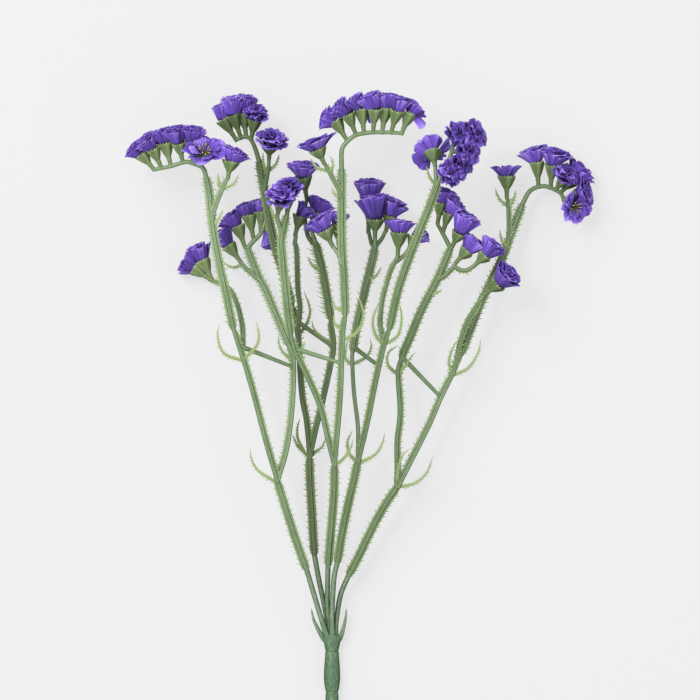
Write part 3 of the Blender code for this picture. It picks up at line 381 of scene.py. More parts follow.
def branch_e():
    """The right branch: a short stem in front and a long curled one that lies on its flowers."""
    stems = [
        (MAIN, [("LR", [(8, 50.5, 10.5), (13.5, 61, 12.5), (20, 74.5, 15), (26.5, 86.5, 17.5),
                        (33, 96, 19)])]),
        (MAIN, [("R", [(32, 95.2, 19), (32.3, 105, 20), (32.3, 118.5, 21.5), (33.8, 133, 23),
                       (32.8, 152, 24.3)]),
                ("LR", [(34.5, 159.5, 25), (38.5, 169, 26), (45, 184.5, 27.5), (53, 200, 28.5),
                        (59.5, 215.5, 28.5)])]),
        (MAIN, [("L", [(33, 95.2, 19), (41.5, 112, 19.5), (49, 127, 19.5), (54.8, 140.5, 19),
                       (60.5, 152, 18.5)]),
                ("LR", [(64.5, 161.5, 18), (74, 186.5, 16), (84.5, 208.5, 13.5), (90, 223, 12),
                        (95.5, 237.5, 10.5)])]),
        (SIDE, [("R", [(52.6, 199, 28.4), (57.5, 202.5, 29), (62, 207.7, 29.5)])]),
        (SIDE, [("R", [(60.5, 206, 29.3), (66, 203.8, 30), (71, 206.2, 30.5)])]),
        (SIDE, [("r", [(88.3, 218.6, 12.5), (88.2, 227, 13.5), (88, 235, 14), (87.5, 240.4, 14)])]),
        (THIN, [("LR", [(61, 153, 19), (63.5, 165.5, 20.5), (67, 177, 22.5), (72, 185.5, 24.5),
                        (75, 190, 25.6)])]),
    ]
    twigs = [
        [(59.2, 214.8, 28.5), (56, 221, 28.5), (52.6, 227, 28.5)],
        [(95.2, 236.8, 10.6), (98.5, 243, 10), (102.5, 245.5, 9.5), (107, 246, 9.5), (111, 244.5, 9.5),
         (114.8, 242.2, 9.5), (116, 238.5, 9.5), (117, 235.3, 9.5)],
        [(74.2, 189, 25.4), (76.1, 191.8, 26)],
        [(35.2, 160.3, 25.2), (53.8, 141, 19)],
    ]
    bracts = [
        [(33.5, 95.5, 19), (41.5, 97.5, 20), (47.5, 103, 21), (50.5, 111, 22)],
        [(32.2, 97, 19.4), (33.5, 107, 22.5), (35.8, 111.8, 23.5), (39, 115, 24)],
        [(32.6, 152, 24.3), (28, 156.5, 25), (28.2, 162.5, 26), (33.2, 166.5, 27.5)],
        [(33.2, 152.5, 24.3), (37, 156.5, 25.5), (39.5, 160.5, 26.5), (42, 163, 27)],
        [(60, 151.5, 18.6), (58.6, 158, 20), (60, 164, 21.5), (63, 169.7, 23)],
        [(60.8, 151.5, 18.5), (68, 155, 19.5), (73, 162.5, 20.5), (74.5, 169.7, 21.5)],
        [(49.5, 192, 28), (52.5, 192.6, 28.6), (55.3, 194.6, 29)],
        [(88.8, 214.2, 12.6), (85.2, 218.6, 14.2), (83.8, 224.6, 15.4)],
        [(88, 236, 14), (83.8, 239.5, 14.5), (81.5, 245, 15)],
        [(88.1, 236, 14), (91, 239.5, 14.5), (91.9, 244.5, 15)],
    ]
    heads = {
        "corollas_e1_spike": [
            ((52.8, 227.4, 28.5), (54.4, 236.8, 28.5), (57.8, 243.4, 29), 7.2, CUP_R),
            ((55.4, 222.6, 28.5), (58, 232.2, 31.4), (62.4, 238, 33), 6.2, SMALL_CUP_R),
            ((59.8, 215.2, 28.5), (63.4, 222.2, 30.6), (68, 231, 32), 7.8, CUP_R),
            ((61.9, 207.7, 29.5), (67, 213.2, 29), (71.8, 219, 29), 7.2, CUP_R),
            ((71, 206, 30.5), (76, 211, 30.4), (81.4, 217.4, 30.5), 7.2, CUP_R),
        ],
        "corollas_e2_spike": [
            ((103.4, 245.6, 9.5), (102.5, 257.6, 10), (100.2, 264.6, 10.5), 8, CUP_R),
            ((109.4, 245.2, 9.5), (110.2, 256.4, 12), (111.8, 263.6, 14), 8.2, CUP_R),
            ((111.8, 244, 9.6), (115.2, 248.6, 12), (118.6, 253.2, 16.6), 8.2, SMALL_CUP_R),
            ((114.4, 242.6, 9.5), (119.8, 248.8, 7.2), (126, 254.8, 6.8), 8.4, CUP_R),
            ((115.8, 239, 9.5), (122.4, 242, 10), (128, 243.6, 12), 8, SMALL_CUP_R),
            ((116.9, 235.6, 9.5), (120.6, 235.4, 12), (123.4, 235.4, 17), 8.2, SMALL_CUP_R),
        ],
        "corolla_e2_top": [((87.5, 240.2, 14), (87.3, 250.4, 14), (87, 256, 14), 8, SINGLE_CUP_R)],
        "corolla_e2_side": [((76.1, 191.7, 26), (83, 197.2, 28.4), (89, 202.6, 32.4), 8.4, SINGLE_CUP_R)],
    }
    return stems, twigs, bracts, heads


# Petals that hang loose below a corolla: root, tip and half width
LOOSE_PETALS = {
    "corollas_c2_spike": [((41.6, 280.4, 41.5), (45.8, 274.8, 40.5), 2.3),
                          ((18, 283, 41), (19.4, 276.8, 40), 1.3)],
    "corolla_d2_tip": [((47, 260.6, 35), (40, 258.4, 31), 3.2), ((47, 259.8, 35), (45.2, 253.8, 31), 3.2)],
}

# The florets whose layers don't follow from their tilt, by their place in the head
MANNERS = {
    "corollas_a1_spike": {5: "open"}, "corollas_e2_spike": {5: "open"}, "corolla_d2_tip": {0: "parted"},
    "corolla_e2_top": {0: "parted"}, "corolla_c2_side": {0: "parted"}, "corolla_b1_inner": {0: "parted"},
    "corolla_e2_side": {0: "side"},
}

# Painted light and shade on whole mouldings: an offset of the tone that darkens the branches lying low and
# behind as painted shade and lightens those in front as painted light
BRANCH_PAINTED_LIGHT = {"branch_a": 0.08, "branch_b": -0.2, "branch_c": 0.05, "branch_d": -0.05, "branch_e": 0.0}


def smooth_route(points, samples=10):
    """Dense points on the Catmull-Rom curve through a route's own points."""
    own = [Vector(p) for p in points]
    own = [own[0] * 2 - own[1]] + own + [own[-1] * 2 - own[-2]]
    dense = []
    for before, start, end, after in zip(own, own[1:], own[2:], own[3:]):
        for k in range(samples):
            t = k / samples
            dense.append(0.5 * (2 * start + (end - before) * t
                                + (2 * before - 5 * start + 4 * end - after) * t ** 2
                                + (3 * start - before - 3 * end + after) * t ** 3))
    return dense + [own[-2]]


def route_length(points):
    points = [Vector(p) for p in points]
    return sum((b - a).length for a, b in zip(points, points[1:]))


def point_on(dense, distance):
    """The point at a distance along a dense route, and the route's direction there."""
    for a, b in zip(dense, dense[1:]):
        span = (b - a).length
        if distance <= span:
            return a + (b - a) * (distance / span), (b - a).normalized()
        distance -= span
    return dense[-1] + (dense[-1] - dense[-2]).normalized() * distance, (dense[-1] - dense[-2]).normalized()


def across(direction):
    """The level vector to the right of a direction of travel, and the one that completes the frame."""
    right = direction.cross(Vector((0, 0, 1)))
    right = right.normalized() if right.length > 0.05 else Vector((1, 0, 0))
    return right, right.cross(direction).normalized()


def ring(centre, direction, sides, radius, squash=1.0):
    right, up = across(direction)
    angles = [2 * math.pi * (k + 0.5) / sides for k in range(sides)]
    return [centre + right * (radius * math.cos(a)) + up * (radius * squash * math.sin(a)) for a in angles]


class Form:
    """Skins gathered before they become one mesh, with a tone and a surface coordinate for each point."""

    def __init__(self):
        self.points, self.faces, self.tones, self.flows = [], [], [], []

    def add(self, rows, tone, around=True, caps=True, tip=None):
        """A skin over rows of points; tone(v, u) shades it from its first row to its last and across."""
        first, count = len(self.points), len(rows[0])
        run = 0.0
        for r, row in enumerate(rows):
            run += (row[0] - rows[r - 1][0]).length if r else 0.0
            side = 0.0
            for c, point in enumerate(row):
                side += (point - row[c - 1]).length if c else 0.0
                self.points.append(point)
                self.tones.append(tone(r / max(1, len(rows) - 1), c / (count if around else count - 1)))
                self.flows.append((side, run, 0.0))
        for r in range(len(rows) - 1):
            for c in range(count if around else count - 1):
                a, b = first + r * count + c, first + r * count + (c + 1) % count
                self.faces.append((a, b, b + count, a + count))
        last = first + (len(rows) - 1) * count
        if tip is not None:
            self.points.append(tip)
            self.tones.append(tone(1.0, 0.5))
            self.flows.append((0.0, run, 0.0))
            self.faces += [(last + c, last + (c + 1) % count, len(self.points) - 1) for c in range(count)]
        if around and caps:
            self.faces.append(tuple(range(first + count - 1, first - 1, -1)))
            if tip is None:
                self.faces.append(tuple(range(last, last + count)))

    def piece(self, name, material, slot, *nodes, sharp=SHARP_ANGLE):
        """The mesh object, which rides on the frame and stands for these nodes."""
        mesh = bpy.data.meshes.new(name)
        mesh.from_pydata([(p.x * MM, p.y * MM, max(p.z, LOWEST) * MM) for p in self.points], [], self.faces)
        mesh.attributes.new("tone", "FLOAT", "POINT").data.foreach_set("value", self.tones)
        flows = [number for flow in self.flows for number in flow]
        mesh.attributes.new("flow", "FLOAT_VECTOR", "POINT").data.foreach_set("vector", flows)
        mesh.materials.append(material)
        mesh.shade_smooth()
        mesh.set_sharp_from_angle(angle=sharp)
        obj = bpy.data.objects.new(name, mesh)
        bpy.context.scene.collection.objects.link(obj)
        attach(obj, "root")
        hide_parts(*nodes)
        return obj


def fade(distance, length, reach):
    """From 0 at either end of a run to 1 at the reach from it."""
    return max(0.0, min(1.0, distance / reach, (length - distance) / reach))


def add_turned(form, profile, seam=True):
    """A turned moulding on the stalk's line, with the mould's parting line along both sides."""
    rows = []
    dense = [Vector((radius, place, 0)) for place, radius in profile]
    for place in dense:
        row = []
        for k in range(STALK_SIDES):
            angle = 2 * math.pi * k / STALK_SIDES
            radius = place.x + (SEAM_HEIGHT if seam and k % (STALK_SIDES // 2) == 0 else 0.0)
            depth = min(radius, BELLY_R)
            row.append(Vector((radius * math.cos(angle), place.y, STALK_Z + depth * math.sin(angle))))
        rows.append(row)
    form.add(rows, lambda v, u: 0.5)


def smooth_profile(profile, samples=5):
    """Dense (place, radius) pairs on the curve through a turned profile."""
    return [(p.x, p.y) for p in smooth_route([(place, radius, 0) for place, radius in profile], samples)]


def add_tube(form, points, radius_of, sides, tone, squash=1.0, step=RIB_STEP):
    """A round stem along a route; radius_of gives its radius at each share of its length."""
    dense = smooth_route(points)
    length = route_length(dense)
    count = max(2, round(length / step))
    rows = []
    for k in range(count + 1):
        centre, direction = point_on(dense, length * k / count)
        rows.append(ring(centre, direction, sides, radius_of(k / count), squash))
    form.add(rows, tone)


def rib_row(centre, direction, half_height):
    """Two round cords side by side, so that a groove runs along the front and the back of the rib."""
    right, up = across(direction)
    half_width = half_height * RIB_SHARE
    cord = half_width * CORD_SHARE
    offset = half_width - cord
    row = []
    for k in range(RIB_SIDES):
        angle = 2 * math.pi * (k + 0.5) / RIB_SIDES
        reach = offset * abs(math.cos(angle)) + math.sqrt(cord ** 2 - (offset * math.sin(angle)) ** 2)
        row.append(centre + right * (reach * math.cos(angle))
                   + up * (reach * math.sin(angle) * half_height / cord))
    return row


def add_rib(form, dense, size, lip, tone, draw):
    """The grooved core of a fringed stem, with a lip where it is pushed on the collar's stem."""
    half_height = size[0]
    length = route_length(dense)
    count = round(length / RIB_STEP)
    rows = []
    for k in range(count + 1):
        distance = length * k / count
        centre, direction = point_on(dense, distance)
        swell = 1 + 0.025 * draw.uniform(-1, 1) + (LIP if lip and k == 0 else 0.0)
        slim = 1 - 0.12 * k / count
        rows.append(rib_row(centre, direction, half_height * swell * slim))

    def shade(v, u):
        angle = 2 * math.pi * (u + 0.5 / RIB_SIDES)
        # The tone paints light and shade: a painted highlight along the crest of each cord, and painted shade
        # in the groove between the cords and on both flanks of the rib.
        cord_highlight_and_groove_shade = 0.22 * math.cos(6 * angle) * math.sin(angle) ** 2
        return tone + 0.04 + cord_highlight_and_groove_shade - 0.34 * abs(math.cos(angle)) ** 3

    form.add(rows, shade)


def add_spike(form, root, out, ahead, up, length, width, tone):
    """A slender tooth that leaves its root outward and bends ahead to its point."""
    rows = []
    for share, size in ((-0.25, 1.0), (0.3, 0.7), (0.7, 0.36)):
        centre = root + out * (share * length) + ahead * (max(0.0, share) ** 1.5 * length * 0.7)
        rows.append([centre - ahead * (size * width / 2), centre + up * (size * WING_EDGE * 1.6),
                     centre + ahead * (size * width / 2), centre - up * (size * WING_EDGE * 1.6)])
    form.add(rows, lambda v, u: tone + 0.2 * v, tip=root + out * length + ahead * (0.7 * length))


def add_fringe(form, dense, start, end, side, size, bristles, tone, draw):
    """The thin wing on one side of a stem, from one distance to another, with its row of teeth."""
    half_height, half_width = size
    span = end - start

    def edge_at(distance):
        centre, direction = point_on(dense, distance)
        right, up = across(direction)
        wing = half_width + WING_MARGIN - half_height * 0.6
        reach = half_height * 0.6 + wing * (0.3 + 0.7 * fade(distance - start, span, 3.0))
        return centre, right * side, direction, up, reach

    count = max(2, round(span / WING_STEP))
    rows = []
    for k in range(count + 1):
        centre, out, _, up, reach = edge_at(start + span * k / count)
        edge = centre + out * (reach * (1 + 0.05 * draw.uniform(-1, 1)))
        inner = centre + out * (half_height * 0.5)
        rows.append([inner + up * WING_ROOT, edge + up * WING_EDGE,
                     edge - up * WING_EDGE, inner - up * WING_ROOT])
    # The wing is darker at its root beside the rib, as painted shade, and lighter towards its thin edge.
    form.add(rows, lambda v, u: tone + (0.1 if 0.2 < u < 0.7 else -0.15))
    pitch, tall = (BRISTLE_PITCH, BRISTLE) if bristles else (TOOTH_PITCH, TOOTH)
    tall *= (half_width / MAIN[1]) ** 0.5
    teeth = max(1, round(span / pitch))
    for k in range(2 * teeth - 1):
        distance = start + span * (0.5 * k + 0.45 + 0.1 * draw.uniform(-1, 1)) / teeth
        centre, out, direction, up, reach = edge_at(distance)
        length = tall * draw.uniform(0.75, 1.15) * (0.5 + 0.5 * fade(distance - start, span, 4.0))
        if k % 2:
            length *= SMALL_TOOTH
        root = centre + out * (reach - WING_MARGIN)
        add_spike(form, root, out, direction, up, length, TOOTH_ROOT, tone + 0.1)


def add_fringed_stem(ribs, fringe, size, stretches, lip, tone, draw):
    """One ribbed stem; each stretch names its toothed sides: L or R, and l or r for long bristles."""
    dense = smooth_route([p for _, points in stretches for p in points])
    length = route_length(dense)
    change = length - route_length(smooth_route(stretches[-1][1])) if len(stretches) > 1 else 0.0
    add_rib(ribs, dense, size, lip, tone, draw)
    spans = [(stretches[0][0], 0.0, change), (stretches[-1][0], change, length)] if change else \
        [(stretches[0][0], 0.0, length)]
    for sides, start, end in spans:
        for letter in sides:
            side = 1 if letter in "Rr" else -1
            add_fringe(fringe, dense, start, end, side, size, letter.islower(), tone, draw)


def add_bract(form, points, tone, draw):
    """A curved leaf, ribbed and pointed, with barbs that are longest on its outer side."""
    dense = smooth_route(points)
    length = route_length(dense)
    count = max(6, round(length / 1.2))
    rows = []
    for k in range(count):
        share = k / count
        centre, direction = point_on(dense, length * share)
        half_width = BRACT_W * (1 - share) ** 0.7 + 0.12
        rows.append(ring(centre, direction, 8, half_width, squash=0.5))
    form.add(rows, lambda v, u: tone + 0.2 * v + 0.1 * math.cos(4 * math.pi * u), tip=dense[-1])
    middle, direction = point_on(dense, length / 2)
    right, _ = across(direction)
    outer = 1 if right.dot(middle - (dense[0] + dense[-1]) / 2) > 0 else -1
    for side, size in ((outer, 1.0), (-outer, 0.45)):
        barbs = max(2, round(length / BARB_PITCH))
        for k in range(barbs):
            share = 0.05 + 0.78 * (k + 0.5 + 0.25 * draw.uniform(-1, 1)) / barbs
            centre, direction = point_on(dense, length * share)
            right, up = across(direction)
            half_width = BRACT_W * (1 - share) ** 0.7 + 0.12
            reach = BARB * size * (1.1 - 0.55 * share) * draw.uniform(0.8, 1.2)
            add_spike(form, centre + right * (side * half_width * 0.8), right * side, direction, up,
                      reach, 0.6, tone + 0.1)


def add_calyx(form, base, mouth, cup, tone):
    """A pedicel with a joint ring and a fluted funnel that ends in a rim of small teeth."""
    base, mouth = Vector(base), Vector(mouth)
    cup *= CUP_FLARE
    axis = mouth - base
    direction = axis.normalized()
    right, up = across(direction)

    def row(share, radius, tooth=0.0, flute=0.0):
        points = []
        for k in range(CUP_SIDES):
            angle = 2 * math.pi * k / CUP_SIDES
            size = radius * (1 + flute * math.cos(5 * angle))
            rise = axis * share + direction * (tooth if k % 2 else 0.0)
            points.append(base + rise + right * (size * math.cos(angle)) + up * (size * math.sin(angle)))
        return points

    inside = cup - CUP_WALL
    rows = [
        row(-0.08, 1.0), row(0.1, 1.1), row(0.24, 1.05), row(0.28, 1.25), row(0.33, 1.25), row(0.37, 1.15),
        row(0.48, 0.9 + 0.2 * cup, flute=0.03), row(0.64, 0.6 + 0.5 * cup, flute=0.05),
        row(0.82, 0.3 + 0.76 * cup, flute=0.06), row(0.95, 0.98 * cup, flute=0.05),
        row(1.0, 1.02 * cup, tooth=CUP_TOOTH),
        row(1.0, inside, tooth=CUP_TOOTH), row(0.9, inside * 0.85), row(0.7, 0.45 * cup),
    ]
    form.add(rows, lambda v, u: tone + 0.16 * math.cos(10 * math.pi * u) * v + (0.35 if v > 0.75 else 0.0))


def creases(draw, count):
    """Where a petal is folded, as (place across, height): ridges and valleys in turn, unevenly spaced."""
    places = sorted(draw.uniform(-1, 1) for _ in range(count))
    return [(place, (1 if k % 2 else -1) * draw.uniform(0.35, 1.0)) for k, place in enumerate(places)]


def fold_height(folds, u):
    """The height of the folded cloth at a place across it: straight facets between its creases."""
    if u <= folds[0][0]:
        return folds[0][1]
    for (a, low), (b, high) in zip(folds, folds[1:]):
        if u <= b:
            return low + (high - low) * (u - a) / max(b - a, 0.001)
    return folds[-1][1]


def add_petal(form, place, middle, spread, size, drape, draw):
    """One pleated petal with a pinked edge; place(angle, radius, rise) puts a point of it."""
    root, reach, low, high = size
    crumple, late, depth = drape
    folds = creases(draw, draw.randint(9, 13))
    waves = creases(draw, draw.randint(3, 4))
    lean = draw.uniform(-0.08, 0.08)
    twist = draw.uniform(-0.12, 0.12)
    shade = 0.18 * draw.uniform(-1, 1)
    rows = []
    tones = []
    for r in range(PETAL_ROWS + 1):
        v = r / PETAL_ROWS
        row = []
        tones.append([])
        for c in range(PETAL_COLUMNS + 1):
            u = 2 * c / PETAL_COLUMNS - 1
            fold = fold_height(folds, u)
            wave = fold_height(waves, u)
            pinked = PINK_DEPTH / max(reach, high) if c % 2 else 0.0
            out = v * (1 - 0.27 * abs(u) ** 2.2 + 0.04 * wave - (pinked if r == PETAL_ROWS else 0.0))
            angle = middle + spread * u * (0.8 + 0.2 * v) + twist * v
            radius = root + (reach * (1 + lean) - root) * out ** late
            radius += crumple * v ** 0.8 * (0.42 * fold + 0.8 * v * wave) + 0.35 * u * v
            rise = low + (high * (1 - 0.6 * lean) - low) * (1 - max(0.0, 1 - out) ** (0.45 + late))
            rise -= crumple * v ** 2 * 0.35 * wave
            row.append(place(angle, radius, rise))
            # The petal's tone paints light and shade: painted shade towards the root, a painted highlight
            # along the pinked hem, fold ridges lighter and fold valleys darker as painted light and shade,
            # and the painted shade of facing corollas; the shift of each petal is random.
            hem_highlight = 0.1 if r == PETAL_ROWS else 0.0
            relief = (0.22 * fold + 0.2 * wave) * (0.4 + 0.6 * v)
            tones[-1].append(0.22 - depth + shade + 0.3 * v + hem_highlight + relief)
        rows.append(row)
    form.add(rows, lambda v, u: tones[round(v * PETAL_ROWS)][round(u * PETAL_COLUMNS)], around=False)


def add_corolla(form, floret, manner, draw):
    """Layers of petals on one calyx: a wide outer one with others inside it."""
    base, mouth, tip, half_width, cup = floret
    mouth, tip = Vector(mouth), Vector(tip)
    direction = (tip - mouth).normalized()
    height = (tip - mouth).length
    right, up = across(direction)
    depth = min(1.0, 0.55 + 3.2 / half_width)

    def place(angle, radius, rise):
        return (mouth + direction * rise + right * (radius * math.cos(angle))
                + up * (radius * depth * math.sin(angle)))

    turn = draw.uniform(0, 2 * math.pi)
    for root, reach, low, high, crumple, overlap, late, count in LAYERS[manner]:
        turn += math.pi / count
        size = (root * cup, reach * half_width, low * height, high * height)
        spread = math.pi / count * overlap
        drape = (crumple, late, PAINTED_SHADE_OF_MANNER[manner])
        for k in range(count):
            middle = turn + (2 * math.pi * k + 0.6 * draw.uniform(-1, 1)) / count
            add_petal(form, place, middle, spread, size, drape, draw)


def add_loose_petal(form, root, tip, half_width, draw):
    """A single petal that hangs from its corolla."""
    root, tip = Vector(root), Vector(tip)
    direction = (tip - root).normalized()
    right, up = across(direction)
    length = (tip - root).length

    def place(angle, radius, rise):
        return root + right * (half_width * angle) + up * (radius - 1.0) + direction * rise

    add_petal(form, place, 0.0, 1.0, (0.6, 1.0, 0.0, length), (0.5, 0.85, 0.0), draw)


def add_stamens(form, floret, opened, draw):
    """Thin bent filaments, each with a small head, round the middle of a corolla."""
    base, mouth, tip, half_width, cup = floret
    mouth, tip = Vector(mouth), Vector(tip)
    direction = (tip - mouth).normalized()
    height = (tip - mouth).length
    right, up = across(direction)
    for k in range(STAMENS):
        angle = 2 * math.pi * (k + 0.3 * draw.uniform(-1, 1)) / STAMENS
        out = right * math.cos(angle) + up * math.sin(angle)
        reach = draw.uniform(0.22, 0.42) * half_width * (1.0 if opened else 0.4)
        rise = draw.uniform(0.6, 0.8) * height * (1.0 if opened else 0.8)
        points = [mouth + out * 0.4, mouth + out * (0.5 * reach) + direction * (0.45 * height),
                  mouth + out * reach + direction * rise]
        add_tube(form, points, lambda share: STAMEN_R * (1 if share < 0.85 else 2.2), 5,
                 lambda v, u: 0.3 + 0.6 * v, step=0.8)


def build_stalk(material):
    """The swollen stalk, with its pin inside the collar."""
    form = Form()
    pin = [(13.0, JOINT_PIN_R), (JOINT_PIN_TOP, JOINT_PIN_R)]
    add_turned(form, smooth_profile(STALK_PROFILE) + pin)
    form.piece("stalk_moulding", material, "stalk_green", "stalk")


def build_collar(material):
    """The cone with its socket, five smooth stems that leave it and two sepals."""
    form = Form()
    socket = JOINT_PIN_R + GAP
    bore = [(JOINT_PIN_TOP + GAP, socket), (13.3, socket)]
    add_turned(form, bore + smooth_profile(COLLAR_PROFILE))
    for points in BARE_STEMS:
        # The bare stems' tone paints light and shade: lighter along their top and underside as painted
        # highlight, darker on both flanks as painted shade, fading in from the collar.
        add_tube(form, points, lambda share: BARE_R * (1 + BARE_ROOT * max(0.0, 1 - share / 0.2)), 24,
                 lambda v, u: 0.5 + min(1.0, 3 * v) * (0.3 - 0.65 * abs(math.cos(2 * math.pi * u)) ** 3))
    for points in SEPALS:
        add_sepal(form, points)
    form.piece("collar_moulding", material, "stalk_green", "collar")


def add_sepal(form, points):
    """A pointed leaf with a keel along its back."""
    dense = smooth_route(points)
    length = route_length(dense)
    rows = []
    for k in range(12):
        share = k / 12
        centre, direction = point_on(dense, length * share)
        right, up = across(direction)
        half_width = (1.3 * (1 - share) ** 0.7 + 0.15) * min(1.0, 0.3 + 4 * share)
        depth = 0.6 * (1 - 0.6 * share)
        rows.append([centre + right * half_width, centre + right * (0.5 * half_width) + up * (0.7 * depth),
                     centre + up * depth, centre - right * (0.5 * half_width) + up * (0.7 * depth),
                     centre - right * half_width, centre - up * (0.6 * depth)])
    form.add(rows, lambda v, u: 0.5 + 0.3 * v, tip=dense[-1])


def build_branch(name, table, materials, draw):
    """A branch's mouldings and corollas, one piece for each material of each node."""
    stems, twigs, bracts, heads = table
    tone = 0.5 + BRANCH_PAINTED_LIGHT[name]
    ribs, fringe, leaves, cups = Form(), Form(), Form(), Form()
    for k, (size, stretches) in enumerate(stems):
        add_fringed_stem(ribs, fringe, size, stretches, k == 0, tone, draw)
    for points in twigs:
        add_tube(ribs, points, lambda share: TWIG_R * (1.2 - 0.3 * share), TWIG_SIDES, lambda v, u: tone)
    for points in bracts:
        add_bract(leaves, points, tone, draw)
    for florets in heads.values():
        for base, mouth, _, _, cup in florets:
            add_calyx(cups, base, mouth, cup, tone)
    ribs.piece(name + "_ribs", materials["rib"], "branch_green", name)
    fringe.piece(name + "_fringe", materials["fringe"], "branch_green", name)
    leaves.piece(name + "_bracts", materials["bract"], "branch_green", name)
    cups.piece(name + "_calyxes", materials["calyx"], "branch_green", name)
    for head, florets in heads.items():
        build_head(head, florets, materials, draw)


def build_head(head, florets, materials, draw):
    petals, stamens = Form(), Form()
    for k, floret in enumerate(florets):
        lift = (Vector(floret[2]) - Vector(floret[1])).normalized().z
        manner = MANNERS.get(head, {}).get(k, "facing" if lift > FACING else "side")
        add_corolla(petals, floret, manner, draw)
        add_stamens(stamens, floret, manner == "open", draw)
    for root, tip, half_width in LOOSE_PETALS.get(head, []):
        add_loose_petal(petals, root, tip, half_width, draw)
    cloth = petals.piece(head + "_petals", materials["fabric"], "violet_fabric", head, sharp=PLEAT_ANGLE)
    solid = cloth.modifiers.new("thickness", "SOLIDIFY")
    solid.thickness = PETAL_THICKNESS * MM
    solid.offset = 0.0
    stamens.piece(head + "_stamens", materials["stamen"], "violet_fabric", head)


def add_node(tree, kind, **values):
    """A shader node with values for its inputs, by name with underscores for spaces."""
    node = tree.nodes.new(kind)
    for key, value in values.items():
        node.inputs[key.replace("_", " ")].default_value = value
    return node


def toned_material(name, colours, roughness, grain, bump, mottle=0.4, fabric=False):
    """A Principled material coloured by the tone of the mesh, with grain along the surface."""
    material = bpy.data.materials.new(name)
    material.use_nodes = True
    tree = material.node_tree
    shader = tree.nodes["Principled BSDF"]
    tone = tree.nodes.new("ShaderNodeAttribute")
    tone.attribute_name = "tone"
    flow = tree.nodes.new("ShaderNodeAttribute")
    flow.attribute_name = "flow"
    streak = tree.nodes.new("ShaderNodeMapping")
    streak.inputs["Scale"].default_value = grain
    tree.links.new(flow.outputs["Vector"], streak.inputs["Vector"])
    noise = add_node(tree, "ShaderNodeTexNoise", Scale=1.0, Detail=4.0, Roughness=0.6)
    tree.links.new(streak.outputs["Vector"], noise.inputs["Vector"])
    place = tree.nodes.new("ShaderNodeNewGeometry")
    patch = add_node(tree, "ShaderNodeTexNoise", Scale=60.0, Detail=2.0)
    tree.links.new(place.outputs["Position"], patch.inputs["Vector"])
    mixed = weighted_sum(tree, [(tone.outputs["Fac"], 1.0), (noise.outputs["Fac"], mottle),
                                (patch.outputs["Fac"], 0.25)], -0.5 * mottle - 0.125)
    ramp = tree.nodes.new("ShaderNodeValToRGB")
    ramp.color_ramp.elements[0].color = (*colours[0], 1.0)
    ramp.color_ramp.elements[1].color = (*colours[2], 1.0)
    ramp.color_ramp.elements.new(0.5).color = (*colours[1], 1.0)
    tree.links.new(mixed, ramp.inputs["Fac"])
    tree.links.new(ramp.outputs["Color"], shader.inputs["Base Color"])
    rough = tree.nodes.new("ShaderNodeMapRange")
    rough.inputs["To Min"].default_value = roughness[0]
    rough.inputs["To Max"].default_value = roughness[1]
    tree.links.new(noise.outputs["Fac"], rough.inputs["Value"])
    tree.links.new(rough.outputs["Result"], shader.inputs["Roughness"])
    height = weave(tree, flow) if fabric else noise.outputs["Fac"]
    relief = add_node(tree, "ShaderNodeBump", Strength=bump, Distance=0.0002)
    tree.links.new(height, relief.inputs["Height"])
    tree.links.new(relief.outputs["Normal"], shader.inputs["Normal"])
    return material


def weighted_sum(tree, terms, start):
    """The socket of start plus each value times its weight."""
    total = None
    for value, weight in terms:
        step = tree.nodes.new("ShaderNodeMath")
        step.operation = "MULTIPLY_ADD"
        tree.links.new(value, step.inputs[0])
        step.inputs[1].default_value = weight
        if total is None:
            step.inputs[2].default_value = start
        else:
            tree.links.new(total, step.inputs[2])
        total = step.outputs["Value"]
    return total


def weave(tree, flow):
    """Threads that cross, three to a millimetre, as the height of the cloth's relief."""
    waves = []
    for direction in ("X", "Y"):
        wave = add_node(tree, "ShaderNodeTexWave", Scale=0.95, Distortion=1.2, Detail=1.0)
        wave.bands_direction = direction
        tree.links.new(flow.outputs["Vector"], wave.inputs["Vector"])
        waves.append((wave.outputs["Fac"], 0.5))
    return weighted_sum(tree, waves, 0.0)


